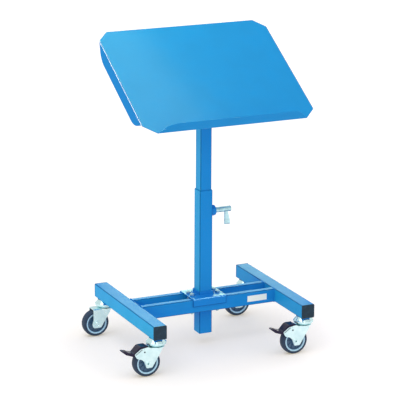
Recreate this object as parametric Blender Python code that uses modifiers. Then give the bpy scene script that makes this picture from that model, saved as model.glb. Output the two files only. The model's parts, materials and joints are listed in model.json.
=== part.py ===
"""Material support stand: a tilting tray on a telescopic post, on an H-shaped base with four swivel casters.

Metres, +Z up. X runs along the tray's long side and Y from front to back. The origin lies on the floor,
under the middle of the whole stand. The post's axis stands BOX_SHIFT to the right of it.
"""
import math

import bmesh
import bpy
from mathutils import Matrix, Vector

STAND = "material_support_stand"
CUTTERS = STAND + "_cutters"

# Clearances
FIT = 0.0003  # between faces that touch, and round each bolt
SLIDE_FIT = 0.0005  # each side of the inner post, in the outer post and in the tilt bracket
RUN_FIT = 0.0004  # each side of a wheel hub and of a brake pedal, in the fork

# Casters
WHEEL_D = 0.080
TYRE_W = 0.026
TYRE_T = 0.008
TYRE_SHOULDER = 0.0030
TYRE_SIDES = 36  # flats round a tyre
CORE_SIDES = 24  # flats round a wheel core, a swivel head and a fork's crown
RIM_W = 0.022
RIM_T = 0.0040
WEB_T = 0.0080
HUB_D = 0.022
HUB_L = 0.028
AXLE_D = 0.008
REAR_AXLE_HEAD_D = 0.014
REAR_AXLE_HEAD_T = 0.0030
FRONT_AXLE_HEAD_D = 0.010
FRONT_AXLE_HEAD_T = 0.0015
TRAIL = 0.031  # from a swivel's axis back to its wheel's axle
WHEEL_HEADROOM = 0.0025
HEAD_R = 0.029
HEAD_END_R = 0.020
HEAD_RIM = 0.005
HEAD_CONE = 0.007
HEAD_H = 0.02355
KING_D = 0.010
KING_HEAD_AF = 0.017
KING_HEAD_H = 0.0064
KING_STANDOUT = 0.0085
KING_ROOM = 0.0010  # between a king bolt's head and the tyre

# Forks
FORK_T = 0.0025
CROWN_R = 0.023
FORK_NOSE = 0.014
FORK_NOSE_H = 0.010
FORK_NOSE_TAPER = 0.005
FORK_TOE = 0.0125
FORK_HEEL = 0.012
FORK_R = 0.008
REAR_FORK_BACK = 0.0115
REAR_FORK_BULGE = 0.0035
REAR_FORK_BULGE_H = 0.012

# Brake pedals and the wide fork plates that carry them
WING_L = 0.041
WING_LOW = 0.019
WING_TIP = 0.032
WING_NOTCH = 0.007
WING_SLOPE = 0.018
CHEEK_H = 0.0035
CHEEK_SLOPE = 0.006
PEDAL_PIN_D = 0.004
PEDAL_PIN_BACK = 0.013
PEDAL_PIN_DROP = 0.0010
PEDAL_GAP = 0.0015  # between the hood and the swivel head
PEDAL_CLEAR = 0.0012  # between the hood and the tyre, with the pedal up
PEDAL_PRESS = math.radians(15)
PEDAL_HOOD_H = 0.010
PEDAL_HOOD_BACK = 0.008
PEDAL_HOOD_R = 0.016
PEDAL_DIP = 0.0115
PEDAL_DIP_BACK = 0.026
PEDAL_DIP_R = 0.005
PEDAL_TREAD = 0.0065
PEDAL_TREAD_BACK = 0.041
PEDAL_TREAD_R = 0.020
PEDAL_REACH = 0.1075
PEDAL_TIP_RISE = 0.0010
PEDAL_TIP_T = 0.0025
PEDAL_TIP_W = 0.016
PEDAL_TAPER_L = 0.040
PEDAL_TONGUE_L = 0.014
PEDAL_TONGUE_T = 0.0135
PEDAL_HEEL = 0.0178
PEDAL_HEEL_BACK = 0.030
PEDAL_HEEL_R = 0.004
PEDAL_ARCH_BACK = 0.024
PEDAL_BOSS = 0.006

# Base
LEG_W = 0.040
TUBE_WALL = 0.002
TUBE_R = 0.003
LEG_L = 0.428
LEG_PITCH = 0.460
PLUG_T = 0.0027
PLUG_SPIGOT = 0.018
KING_INSET = 0.004  # between a plug's end and the king bolt
BEAM_T = 0.020
BEAM_H = 0.040

# Post, and the saddle that clamps it to the crossbeams
POST_W = 0.040
POST_L = 0.427
POST_DROP = 0.074
SLEEVE_T = 0.003
SLEEVE_STANDOUT = 0.0107
SADDLE_T = 0.003
SADDLE_FLANGE = 0.024
SADDLE_BEND = 0.0045
SADDLE_BOLT_D = 0.008
SADDLE_BOLT_AF = 0.013
SADDLE_BOLT_HEAD = 0.0053
SADDLE_NUT_H = 0.0065
SADDLE_BOLT_END = 0.0030
SADDLE_BOLT_OUT = 0.0167  # from the sleeve to a bolt's axis
SADDLE_BOLT_EDGE = 0.0125
SADDLE_BOLT_PITCH = 0.024
SADDLE_LOWER_INSET = 0.012  # from a crossbeam's outer face in to the lower plate's edge

# Inner post and its clamp
INNER_L = 0.540
INNER_STANDOUT = 0.323
CLAMP_DROP = 0.066
WELD_NUT_AF = 0.028
WELD_NUT_L = 0.015
STUD_D = 0.010
STUD_GRIP = 0.024
PAD_STEP = 0.0005  # from the stud's side in to the pad's
PAD_STANDOUT = 0.0015
LEVER_HUB_D = 0.016
LEVER_HUB_L = 0.0497
LEVER_ARM = 0.046
LEVER_ARM_T = 0.009
LEVER_ROOT_W = 0.0095
LEVER_END_W = 0.0195

# Tilt head
PIVOT_DROP = 0.012
PIVOT_D = 0.010
PIVOT_AF = 0.017
PIVOT_HEAD_H = 0.0064
PIVOT_NUT_H = 0.0085
PIVOT_END = 0.0030
EAR_T = 0.004
EAR_EDGE = 0.009
EAR_SPREAD = math.radians(17)
EAR_ROOT = 0.012
EAR_R = 0.010
BRACKET_L = 0.180
BRACKET_T = 0.0037
BRACKET_ROOM = 0.0028  # between the inner post's top corners and the bracket as it tilts
LOCK_R = 0.045
LOCK_D = 0.008
LOCK_AF = 0.013
LOCK_HEAD_H = 0.0053
LOCK_GRIP = 0.020
LOCK_HUB_D = 0.014
LOCK_HUB_L = 0.030
LOCK_ARM = 0.040
TILT = math.radians(31)
TILT_MAX = math.radians(50)

# Tray
TRAY_L = 0.526
TRAY_D = 0.420
TRAY_T = 0.002
TRAY_CORNER = 0.0365
TRAY_BEND = 0.004
LIP_H = 0.034
FLANGE_H = 0.039
FLANGE_END_R = 0.060

# Widths that follow from the sizes above
FORK_IN = HUB_L / 2 + RUN_FIT
FORK_OUT = FORK_IN + FORK_T
SLEEVE_W = POST_W + 2 * (FIT + SLEEVE_T)
BEAM_IN = SLEEVE_W / 2 + FIT
BEAM_OUT = BEAM_IN + BEAM_T
SADDLE_BOLT_X = SLEEVE_W / 2 + SADDLE_BOLT_OUT
SADDLE_L = 2 * (SADDLE_BOLT_X + SADDLE_BOLT_EDGE)
INNER_W = POST_W - 2 * (TUBE_WALL + SLIDE_FIT)
PAD_D = STUD_D - 2 * PAD_STEP
EAR_IN = INNER_W / 2 + SLIDE_FIT
EAR_OUT = EAR_IN + EAR_T
CASTER_Y = LEG_L / 2 - PLUG_SPIGOT - KING_INSET - KING_D / 2
LEFT_REACH = LEG_PITCH / 2 + PEDAL_REACH
RIGHT_REACH = max(TRAY_L, LEG_PITCH + LEG_W) / 2
BOX_SHIFT = (LEFT_REACH - RIGHT_REACH) / 2

# Heights, from the floor up. A fork's crown clears the tyre, and so does the king bolt's head under it.
AXLE_Z = WHEEL_D / 2 * math.cos(math.pi / TYRE_SIDES)
KING_REACH = max(TRAIL - KING_HEAD_AF / math.sqrt(3), 0.0)
KING_Z = math.sqrt((WHEEL_D / 2 + KING_ROOM) ** 2 - KING_REACH ** 2)
CROWN_Z = AXLE_Z + max(WHEEL_D / 2 + WHEEL_HEADROOM, KING_Z + KING_HEAD_H + FIT)
CROWN_TOP = CROWN_Z + FORK_T
HEAD_Z = CROWN_TOP + FIT
LEG_Z = HEAD_Z + HEAD_H + FIT
LEG_TOP = LEG_Z + LEG_W
BEAM_Z = LEG_TOP - BEAM_H
POST_Z = LEG_Z - POST_DROP
POST_TOP = POST_Z + POST_L
CLAMP_Z = POST_TOP - CLAMP_DROP
INNER_TOP = POST_TOP + INNER_STANDOUT
PIVOT_Z = INNER_TOP - PIVOT_DROP
LOCK_Z = PIVOT_Z - LOCK_R

# The tray above its pivot, and a brake pedal's pin from its swivel's axis
TRAY_LIFT = math.hypot(INNER_W / 2, PIVOT_DROP) + BRACKET_ROOM + BRACKET_T + FIT + TRAY_T
PEDAL_PIN_X = -TRAIL - PEDAL_PIN_BACK
PEDAL_PIN_Z = CROWN_TOP - PEDAL_PIN_DROP

# Colour, roughness and metallic value of each finish
FINISHES = {
    "blue_paint": ((0.016, 0.246, 0.703), 0.35, 0.0),
    "zinc_plate": ((0.72, 0.75, 0.78), 0.30, 1.0),
    "brass": ((0.72, 0.52, 0.22), 0.35, 1.0),
    "black_plastic": ((0.020, 0.024, 0.032), 0.50, 0.0),
    "grey_rubber": ((0.035, 0.050, 0.095), 0.70, 0.0),
    "grey_nylon": ((0.150, 0.210, 0.330), 0.45, 0.0),
}


def clear_scene():
    for obj in list(bpy.data.objects):
        bpy.data.objects.remove(obj)
    for name in (STAND, CUTTERS):
        collection = bpy.data.collections.new(name)
        bpy.context.scene.collection.children.link(collection)


def finish(name):
    material = bpy.data.materials.get(name)
    if material is None:
        colour, roughness, metallic = FINISHES[name]
        material = bpy.data.materials.new(name)
        material.use_nodes = True
        shader = material.node_tree.nodes["Principled BSDF"]
        shader.inputs["Base Color"].default_value = (*colour, 1.0)
        shader.inputs["Roughness"].default_value = roughness
        shader.inputs["Metallic"].default_value = metallic
    return material


def pivot(name, at, parent=None, tilt=0.0):
    """An empty that carries one group of pieces, on the axis that they move about."""
    empty = bpy.data.objects.new(name, None)
    bpy.data.collections[STAND].objects.link(empty)
    empty.empty_display_size = 0.03
    empty.parent = parent
    empty.location = at
    empty.rotation_euler.x = tilt
    return empty


def place(name, mesh, look, parent, at=(0, 0, 0)):
    """A piece of the stand, with its mesh in its parent's directions."""
    obj = bpy.data.objects.new(name, mesh)
    bpy.data.collections[STAND].objects.link(obj)
    obj.parent = parent
    obj.location = at
    if not mesh.materials:
        mesh.materials.append(finish(look))
    return obj


def shape(body, mesh, operation="DIFFERENCE"):
    """Cuts a mesh, given in the body's own frame, out of the body, or joins it to the body."""
    tool = bpy.data.objects.new(mesh.name, mesh)
    bpy.data.collections[CUTTERS].objects.link(tool)
    tool.parent = body
    tool.hide_render = True
    tool.display_type = "WIRE"
    modifier = body.modifiers.new(mesh.name, "BOOLEAN")
    modifier.operation = operation
    modifier.object = tool


def shaped_mesh(body):
    """The mesh that a pattern piece's modifiers make. The pattern and its cutters are removed."""
    bpy.context.view_layer.update()
    evaluated = body.evaluated_get(bpy.context.evaluated_depsgraph_get())
    mesh = bpy.data.meshes.new_from_object(evaluated)
    for tool in list(body.children):
        bpy.data.objects.remove(tool)
    bpy.data.objects.remove(body)
    return mesh


def smooth(mesh):
    mesh.shade_smooth()
    mesh.set_sharp_from_angle(angle=math.radians(35))
    return mesh


# Directions that a flat outline's own x, y and thickness take in each plane
PLANES = {
    "XY": Matrix.Identity(4),
    "XZ": Matrix.Rotation(math.pi / 2, 4, "X"),
    "YZ": Matrix(((0, 0, 1, 0), (1, 0, 0, 0), (0, 1, 0, 0), (0, 0, 0, 1))),
}
ALONG = {"Z": "XY", "Y": "XZ", "X": "YZ"}
# Turns that lay a bar, made along +Z, along each axis
LAID = {
    "Z": Matrix.Identity(4),
    "Y": Matrix.Rotation(-math.pi / 2, 4, "X"),
    "X": Matrix.Rotation(math.pi / 2, 4, "Y"),
}


def rounded(corners, steps=2):
    """Points of a closed outline from its corners, each (x, y, radius), with arcs at the corners."""
    points = []
    for i, (x, y, radius) in enumerate(corners):
        corner = Vector((x, y))
        if radius == 0:
            points.append(corner)
            continue
        before = (Vector(corners[i - 1][:2]) - corner).normalized()
        after = (Vector(corners[(i + 1) % len(corners)][:2]) - corner).normalized()
        half = before.angle(after) / 2
        centre = corner + (before + after).normalized() * radius / math.sin(half)
        start = corner + before * radius / math.tan(half) - centre
        end = corner + after * radius / math.tan(half) - centre
        sweep = math.atan2(start.x * end.y - start.y * end.x, start.dot(end))
        for k in range(steps + 1):
            points.append(centre + Matrix.Rotation(sweep * k / steps, 2) @ start)
    return points


def rectangle(width, height, radius=0.0, at=(0.0, 0.0)):
    x, y = width / 2, height / 2
    corners = [(at[0] + i * x, at[1] + j * y, radius) for i, j in ((-1, -1), (1, -1), (1, 1), (-1, 1))]
    return rounded(corners)


def ring(radius, sides, at=(0.0, 0.0), turn=0.0):
    angles = [turn + 2 * math.pi * k / sides for k in range(sides)]
    return [Vector((at[0] + radius * math.cos(a), at[1] + radius * math.sin(a))) for a in angles]


def hexagon(across_flats):
    return ring(across_flats / math.sqrt(3), 6)


def slab(name, loops, thickness, plane="XY", at=(0, 0, 0)):
    """The mesh of a flat outline and its holes, given a thickness about its own plane."""
    curve = bpy.data.curves.new(name, "CURVE")
    curve.dimensions = "2D"
    curve.fill_mode = "BOTH"
    curve.extrude = thickness / 2
    for loop in loops:
        spline = curve.splines.new("POLY")
        spline.points.add(len(loop) - 1)
        for point, (x, y) in zip(spline.points, loop):
            point.co = (x, y, 0, 1)
        spline.use_cyclic_u = True
    outline = bpy.data.objects.new(name, curve)
    bpy.context.scene.collection.objects.link(outline)
    evaluated = outline.evaluated_get(bpy.context.evaluated_depsgraph_get())
    mesh = bpy.data.meshes.new_from_object(evaluated)
    bpy.data.objects.remove(outline)
    welded = bmesh.new()
    welded.from_mesh(mesh)
    bmesh.ops.remove_doubles(welded, verts=welded.verts, dist=1e-6)
    bmesh.ops.transform(welded, matrix=Matrix.Translation(at) @ PLANES[plane], verts=welded.verts)
    bmesh.ops.recalc_face_normals(welded, faces=welded.faces)
    welded.to_mesh(mesh)
    welded.free()
    mesh.name = name
    return smooth(mesh)


def rod(name, diameter, start, end, axis="Z", at=(0, 0, 0), sides=16):
    """The mesh of a round bar from start to end along an axis through the point at."""
    bm = bmesh.new()
    radius = diameter / 2
    bmesh.ops.create_cone(
        bm, cap_ends=True, segments=sides, radius1=radius, radius2=radius, depth=end - start,
        matrix=Matrix.Translation((0, 0, (start + end) / 2)))
    bmesh.ops.transform(bm, matrix=Matrix.Translation(at) @ LAID[axis], verts=bm.verts)
    mesh = bpy.data.meshes.new(name)
    bm.to_mesh(mesh)
    bm.free()
    return smooth(mesh)


def block(name, size, at):
    bm = bmesh.new()
    bmesh.ops.create_cube(bm, matrix=Matrix.Translation(at) @ Matrix.Diagonal((*size, 1)))
    mesh = bpy.data.meshes.new(name)
    bm.to_mesh(mesh)
    bm.free()
    return mesh


def turned(name, profile, look, parent, at, steps, to_y=False, closed=True):
    """A turned piece from a profile of (radius, height), run down its outer side. to_y lays it along Y."""
    mesh = bpy.data.meshes.new(name)
    edges = [(i, i + 1) for i in range(len(profile) - 1)]
    if closed:
        edges.append((len(profile) - 1, 0))
    mesh.from_pydata([(r, 0, z) for r, z in profile], edges, [])
    obj = place(name, mesh, look, parent)
    lie = Matrix.Identity(4)
    if to_y:
        # Half a step's turn puts a flat of the wheel on the floor
        lie = Matrix.Rotation(-math.pi / 2, 4, "X") @ Matrix.Rotation(math.pi / steps, 4, "Z")
    obj.matrix_basis = Matrix.Translation(at) @ lie
    screw = obj.modifiers.new("Turn", "SCREW")
    screw.steps = steps
    screw.render_steps = steps
    screw.merge_threshold = 1e-5
    screw.use_merge_vertices = True
    screw.use_smooth_shade = True
    return obj


def tube(name, width, height, length, along, parent, at):
    """A square or oblong steel tube. Width and height follow the order of the axes across it."""
    inner = rectangle(width - 2 * TUBE_WALL, height - 2 * TUBE_WALL, TUBE_R - TUBE_WALL)
    mesh = slab(name, [rectangle(width, height, TUBE_R), inner], length, ALONG[along])
    return place(name, mesh, "blue_paint", parent, at)


def bolt(name, across_flats, head, diameter, length, along, parent, at, flip=False):
    """A hexagon bolt whose head's underside is at the point at. The shank runs along +axis, or - if flipped."""
    way = -1 if flip else 1
    middle = Vector((0, 0, 0))
    middle["XYZ".index(along)] = -way * head / 2
    mesh = slab(name, [hexagon(across_flats)], head, ALONG[along], middle)
    body = place(name, mesh, "zinc_plate", parent, at)
    low, high = sorted((-way * head / 2, way * length))
    shape(body, rod(name + "_shank", diameter, low, high, along), "UNION")
    return body


def nut(name, across_flats, height, diameter, along, look, parent, at):
    loops = [hexagon(across_flats), ring(diameter / 2 + FIT, 16)]
    return place(name, slab(name, loops, height, ALONG[along]), look, parent, at)


def legs(base):
    wall_middle = -LEG_W / 2 + TUBE_WALL / 2
    for side, x in (("left", -LEG_PITCH / 2), ("right", LEG_PITCH / 2)):
        leg = tube(side + "_leg_tube", LEG_W, LEG_W, LEG_L, "Y", base, (x, 0, LEG_Z + LEG_W / 2))
        for end, way in (("front", -1), ("rear", 1)):
            hole = rod(f"{end}_{side}_king_hole", KING_D + 2 * FIT, -TUBE_WALL, TUBE_WALL, "Z",
                       (0, way * CASTER_Y, wall_middle))
            shape(leg, hole)
            end_plug(f"{end}_{side}_end_plug", base, (x, way * (LEG_L / 2 + FIT), LEG_Z + LEG_W / 2), way)


def end_plug(name, base, at, way):
    """A plastic plug: a head that covers the tube's end and a spigot that fills it."""
    spigot_w = LEG_W - 2 * (TUBE_WALL + FIT)
    head = slab(name, [rectangle(LEG_W, LEG_W, TUBE_R)], PLUG_T, "XZ", (0, way * PLUG_T / 2, 0))
    plug = place(name, head, "black_plastic", base, at)
    spigot = slab(name + "_spigot", [rectangle(spigot_w, spigot_w, TUBE_R - TUBE_WALL)],
                  PLUG_SPIGOT + PLUG_T / 2, "XZ", (0, way * (PLUG_T / 4 - PLUG_SPIGOT / 2), 0))
    shape(plug, spigot, "UNION")


def crossbeams(base):
    length = LEG_PITCH - LEG_W - 2 * FIT
    middle = (BEAM_IN + BEAM_OUT) / 2
    for end, way in (("front", -1), ("rear", 1)):
        tube(end + "_crossbeam", BEAM_T, BEAM_H, length, "X", base, (0, way * middle, BEAM_Z + BEAM_H / 2))


def saddle(base):
    """The folded plate over the crossbeams, the plate under them, the post's sleeve and four bolts."""
    top = LEG_TOP + FIT + SADDLE_T
    under = BEAM_Z - FIT - SADDLE_T
    outside = BEAM_OUT + FIT + SADDLE_T
    hole_w = SLEEVE_W + 2 * FIT
    sleeve_hole = rectangle(hole_w, hole_w, TUBE_R)
    plate = place("post_saddle", saddle_plate_mesh(top, outside), "blue_paint", base)
    shape(plate, slab("saddle_sleeve_hole", [sleeve_hole], 4 * SADDLE_T, at=(0, 0, top)))
    loops = [rectangle(SADDLE_L, 2 * (BEAM_OUT - SADDLE_LOWER_INSET), TUBE_R), sleeve_hole]
    grip = top + FIT - under + FIT + SADDLE_NUT_H + SADDLE_BOLT_END
    through = 2 * SADDLE_T
    for end, y in (("front", -SADDLE_BOLT_PITCH / 2), ("rear", SADDLE_BOLT_PITCH / 2)):
        for side, x in (("left", -SADDLE_BOLT_X), ("right", SADDLE_BOLT_X)):
            spot = f"{end}_{side}"
            loops.append(ring(SADDLE_BOLT_D / 2 + FIT, 16, (x, y)))
            hole = rod(f"saddle_hole_{spot}", SADDLE_BOLT_D + 2 * FIT, -through, through, "Z", (x, y, top))
            shape(plate, hole)
            bolt(f"saddle_bolt_{spot}", SADDLE_BOLT_AF, SADDLE_BOLT_HEAD, SADDLE_BOLT_D, grip, "Z", base,
                 (x, y, top + FIT), flip=True)
            nut(f"saddle_nut_{spot}", SADDLE_BOLT_AF, SADDLE_NUT_H, SADDLE_BOLT_D, "Z", "zinc_plate", base,
                (x, y, under - FIT - SADDLE_NUT_H / 2))
    lower = slab("saddle_lower_plate", loops, SADDLE_T)
    place("saddle_lower_plate", lower, "blue_paint", base, (0, 0, under + SADDLE_T / 2))
    sleeve_top = top + SLEEVE_STANDOUT
    sleeve_in = POST_W + 2 * FIT
    loops = [rectangle(SLEEVE_W, SLEEVE_W, TUBE_R), rectangle(sleeve_in, sleeve_in, TUBE_R)]
    sleeve = slab("post_socket_sleeve", loops, sleeve_top - under)
    place("post_socket_sleeve", sleeve, "blue_paint", base, (0, 0, (sleeve_top + under) / 2))


def saddle_plate_mesh(top, outside):
    """The saddle's upper plate: flat over both crossbeams, and folded down their outer faces."""
    inside = outside - SADDLE_T
    low = top - SADDLE_FLANGE
    section = rounded([
        (-outside, top, SADDLE_BEND), (-outside, low, 0), (-inside, low, 0), (-inside, top - SADDLE_T, 0),
        (inside, top - SADDLE_T, 0), (inside, low, 0), (outside, low, 0), (outside, top, SADDLE_BEND)])
    return slab("post_saddle", [section], SADDLE_L, "YZ")


def outer_post(base):
    post = tube("outer_post_tube", POST_W, POST_W, POST_L, "Z", base, (0, 0, POST_Z + POST_L / 2))
    clamp = CLAMP_Z - POST_Z - POST_L / 2
    shape(post, rod("clamp_hole", PAD_D + 2 * FIT, POST_W / 4, POST_W, "X", (0, 0, clamp)))
    nut("clamp_weld_nut", WELD_NUT_AF, WELD_NUT_L, STUD_D, "X", "blue_paint", base,
        (POST_W / 2 + FIT + WELD_NUT_L / 2, 0, CLAMP_Z))


def lever(name, hub_d, hub_l, bore_d, bore_l, arm, parent, at):
    """A clamping lever: a hub along +X from the point at, and a paddle arm that hangs from its far end."""
    body = place(name, rod(name, hub_d, 0, hub_l, "X", sides=20), "zinc_plate", parent, at)
    left = hub_l - LEVER_END_W + FIT
    outline = rounded([
        (left, 0, 0), (left, -arm, LEVER_ROOT_W / 3), (left + LEVER_END_W, -arm, LEVER_ROOT_W / 2),
        (left + LEVER_ROOT_W, 0, 0)])
    shape(body, slab(name + "_arm", [outline], LEVER_ARM_T, "XZ"), "UNION")
    shape(body, rod(name + "_bore", bore_d + 2 * FIT, -FIT, bore_l + FIT, "X"))


def clamp_screw(base):
    """The screw that presses the inner post: a pad, the stud behind it and the lever on the stud."""
    screw = pivot("clamp_screw", (0, 0, CLAMP_Z), base)
    pad_end = POST_W / 2 + PAD_STANDOUT
    place("clamp_pad", rod("clamp_pad", PAD_D, INNER_W / 2 + FIT, pad_end, "X"), "brass", screw)
    hub = POST_W / 2 + FIT + WELD_NUT_L + 2 * FIT
    stud = rod("clamp_stud", STUD_D, pad_end + FIT, hub + STUD_GRIP, "X")
    place("clamp_stud", stud, "zinc_plate", screw)
    lever("clamp_lever", LEVER_HUB_D, LEVER_HUB_L, STUD_D, STUD_GRIP, LEVER_ARM, screw, (hub, 0, 0))


def mast(base):
    """The inner post, with the tilt bolt and the tilt lock's bolt through its top."""
    carrier = pivot("mast", (0, 0, INNER_TOP - INNER_L), base)
    inner = tube("inner_post_tube", INNER_W, INNER_W, INNER_L, "Z", carrier, (0, 0, INNER_L / 2))
    for name, diameter, z in (("pivot", PIVOT_D, PIVOT_Z), ("lock", LOCK_D, LOCK_Z)):
        at = (0, 0, z - INNER_TOP + INNER_L / 2)
        shape(inner, rod(name + "_hole", diameter + 2 * FIT, -INNER_W, INNER_W, "X", at))
    face = EAR_OUT + FIT
    local_pivot = PIVOT_Z - INNER_TOP + INNER_L
    bolt("pivot_bolt", PIVOT_AF, PIVOT_HEAD_H, PIVOT_D, 2 * face + PIVOT_NUT_H + PIVOT_END, "X", carrier,
         (-face, 0, local_pivot))
    nut("pivot_nut", PIVOT_AF, PIVOT_NUT_H, PIVOT_D, "X", "zinc_plate", carrier,
        (face + PIVOT_NUT_H / 2, 0, local_pivot))
    bolt("tilt_lock_bolt", LOCK_AF, LOCK_HEAD_H, LOCK_D, 2 * face + LOCK_GRIP, "X", carrier,
         (-face, 0, local_pivot - LOCK_R))
    lock = pivot("tilt_lock", (face, 0, local_pivot - LOCK_R), carrier)
    lever("tilt_lock_lever", LOCK_HUB_D, LOCK_HUB_L, LOCK_D, LOCK_GRIP, LOCK_ARM, lock, (0, 0, 0))
    return carrier


def round_pivot(radius, tilt):
    """A point (y, z) of the tilt bracket, below the pivot when the tray has this tilt."""
    return Vector((-radius * math.sin(tilt), -radius * math.cos(tilt)))


def bracket(tilt):
    """The channel under the tray: a web along it, and two ears with the pivot hole and the lock's slot."""
    top = TRAY_LIFT - TRAY_T - FIT
    web = top - BRACKET_T
    tip = top - BRACKET_T / 2
    half = BRACKET_L / 2
    rim = LOCK_R + LOCK_D / 2 + EAR_EDGE
    first, last = -EAR_SPREAD, TILT_MAX + EAR_SPREAD
    steps = 6
    ear = [(*round_pivot(rim, last + (first - last) * k / steps), 0) for k in range(steps + 1)]
    outline = rounded([
        (half, top, 0), (-half, top, 0), (-half, tip, 0), (ear[0][0] - EAR_ROOT, web, EAR_R), *ear,
        (ear[-1][0] + EAR_ROOT, web, EAR_R), (half, tip, 0)])
    body = place("tilt_bracket", slab("tilt_bracket", [outline], 2 * EAR_OUT, "YZ"), "blue_paint", tilt)
    shape(body, block("bracket_channel", (2 * EAR_IN, 4 * half, 4 * half), (0, 0, web - 2 * half)))
    shape(body, rod("bracket_pivot_hole", PIVOT_D + 2 * FIT, -2 * EAR_OUT, 2 * EAR_OUT, "X"))
    shape(body, slab("bracket_slot", [lock_slot()], 4 * EAR_OUT, "YZ"))


def lock_slot(steps=6):
    """The arc slot round the pivot, from a level tray to the steepest one, as its (y, z) outline."""
    half = LOCK_D / 2 + FIT

    def end(tilt, way):
        centre = round_pivot(LOCK_R, tilt)
        out = round_pivot(half, tilt)
        turns = [math.pi * k / steps for k in range(1, steps)]
        return [centre + Matrix.Rotation(-a, 2) @ (way * out) for a in turns]

    tilts = [TILT_MAX * k / steps for k in range(steps + 1)]
    outer = [round_pivot(LOCK_R + half, t) for t in tilts]
    inner = [round_pivot(LOCK_R - half, t) for t in reversed(tilts)]
    return outer + end(TILT_MAX, 1) + inner + end(0.0, -1)


def tray(tilt):
    """The tray: one sheet whose front edge is folded up and whose other edges are folded down."""
    x, y, c = TRAY_L / 2, TRAY_D / 2, TRAY_CORNER
    front = -y + TRAY_T
    panel = [(-x + c, front), (x - c, front), (x, -y + c), (x, y - c), (x - c, y), (-x + c, y), (-x, y - c),
             (-x, -y + c)]
    folds = {0: LIP_H - TRAY_T, 2: -FLANGE_H, 4: -FLANGE_H, 6: -FLANGE_H}
    bm = bmesh.new()
    weight = bm.edges.layers.float.new("bevel_weight_edge")
    corners = [bm.verts.new((px, py, TRAY_LIFT)) for px, py in panel]
    bm.faces.new(corners)
    for i, rise in folds.items():
        first, last = corners[i], corners[i + 1]
        free_edge = [bm.verts.new(p) for p in flange_edge(first.co, last.co, rise)]
        bm.faces.new([last, first] + free_edge)
        # The sheet's inner bend radius is smaller by its thickness
        bm.edges.get((first, last))[weight] = 1.0 if rise < 0 else (TRAY_BEND - TRAY_T) / TRAY_BEND
    mesh = bpy.data.meshes.new("tray_panel")
    bm.to_mesh(mesh)
    bm.free()
    sheet = place("tray_panel", smooth(mesh), "blue_paint", tilt)
    bend = sheet.modifiers.new("Bends", "BEVEL")
    bend.limit_method = "WEIGHT"
    bend.width = TRAY_BEND
    bend.segments = 3
    skin = sheet.modifiers.new("Sheet", "SOLIDIFY")
    skin.thickness = TRAY_T
    skin.offset = -1
    skin.use_even_offset = True


def flange_edge(first, last, rise):
    """The free edge of a flange folded by rise at the line first to last, cut at 45 degrees at both ends."""
    along = (last - first).normalized()
    length = (last - first).length
    height = abs(rise)
    radius = min(FLANGE_END_R, height / math.tan(math.pi / 8))
    ends = rounded([(0, 0, 0), (height, height, radius), (length - height, height, radius), (length, 0, 0)], 6)
    up = Vector((0, 0, math.copysign(1, rise)))
    return [first + along * s + up * h for s, h in ends[1:-1]]


def fork_outline(braked):
    """The side of a fork, in its swivel's frame, from the nose at the top down round the axle."""
    toe = AXLE_Z - FORK_TOE
    back = -TRAIL - FORK_HEEL
    outline = [
        (FORK_NOSE, CROWN_TOP, 0), (FORK_NOSE - FORK_NOSE_TAPER, CROWN_Z - FORK_NOSE_H, FORK_R),
        (-TRAIL + FORK_HEEL, toe, FORK_R)]
    if not braked:
        bulge = back - REAR_FORK_BULGE
        rear = -TRAIL - REAR_FORK_BACK
        return outline + [
            (back, toe, FORK_R), (bulge, AXLE_Z, FORK_R), (rear, AXLE_Z + REAR_FORK_BULGE_H, FORK_R),
            (rear, CROWN_TOP, 0)]
    notch = AXLE_Z + WING_NOTCH
    wing = -TRAIL - WING_L
    cheek = CROWN_TOP + CHEEK_H
    step = fork_step()
    return outline + [
        (back + WING_NOTCH, toe, FORK_R), (back, notch, WING_NOTCH),
        (back - WING_NOTCH, notch + WING_NOTCH, WING_NOTCH), (wing + WING_NOTCH, AXLE_Z + WING_LOW, FORK_R),
        (wing, AXLE_Z + WING_TIP, CHEEK_H), (wing + WING_SLOPE, cheek - CHEEK_H, 2 * FORK_R),
        (wing + 2 * WING_SLOPE, cheek, 2 * FORK_R), (step - CHEEK_SLOPE, cheek, CHEEK_H),
        (step, CROWN_TOP, 0)]


def fork_step():
    """Where a braked fork's crown ends, behind the swivel's axis, and its plates rise as cheeks."""
    return -CROWN_R - 2 * RUN_FIT


def fork_mesh(braked):
    """A sheet-steel fork, in its swivel's frame: a crown under the head, and a plate each side of the wheel."""
    outside = slab("fork", [rounded(fork_outline(braked))], 2 * FORK_OUT, "XZ")
    fork = place("fork", outside, "zinc_plate", None)
    far = 1.0
    hollow = [(-far, -far), (far, -far), (far, CROWN_Z), (-far, CROWN_Z)]
    if braked:
        step = fork_step()
        hollow[3:] = [(step, CROWN_Z), (step, far), (-far, far)]
    shape(fork, slab("fork_hollow", [hollow], 2 * FORK_IN, "XZ"))
    shape(fork, rod("fork_crown", 2 * CROWN_R, CROWN_Z, CROWN_TOP, "Z", sides=CORE_SIDES), "UNION")
    shape(fork, rod("fork_king_hole", KING_D + 2 * FIT, CROWN_Z - FORK_T, CROWN_TOP + FORK_T, "Z"))
    across = 2 * FORK_OUT
    shape(fork, rod("fork_axle_hole", AXLE_D + 2 * FIT, -across, across, "Y", (-TRAIL, 0, AXLE_Z)))
    if braked:
        pin = (PEDAL_PIN_X, 0, PEDAL_PIN_Z)
        shape(fork, rod("fork_pin_hole", PEDAL_PIN_D + 2 * FIT, -across, across, "Y", pin, 12))
    return shaped_mesh(fork)


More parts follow.
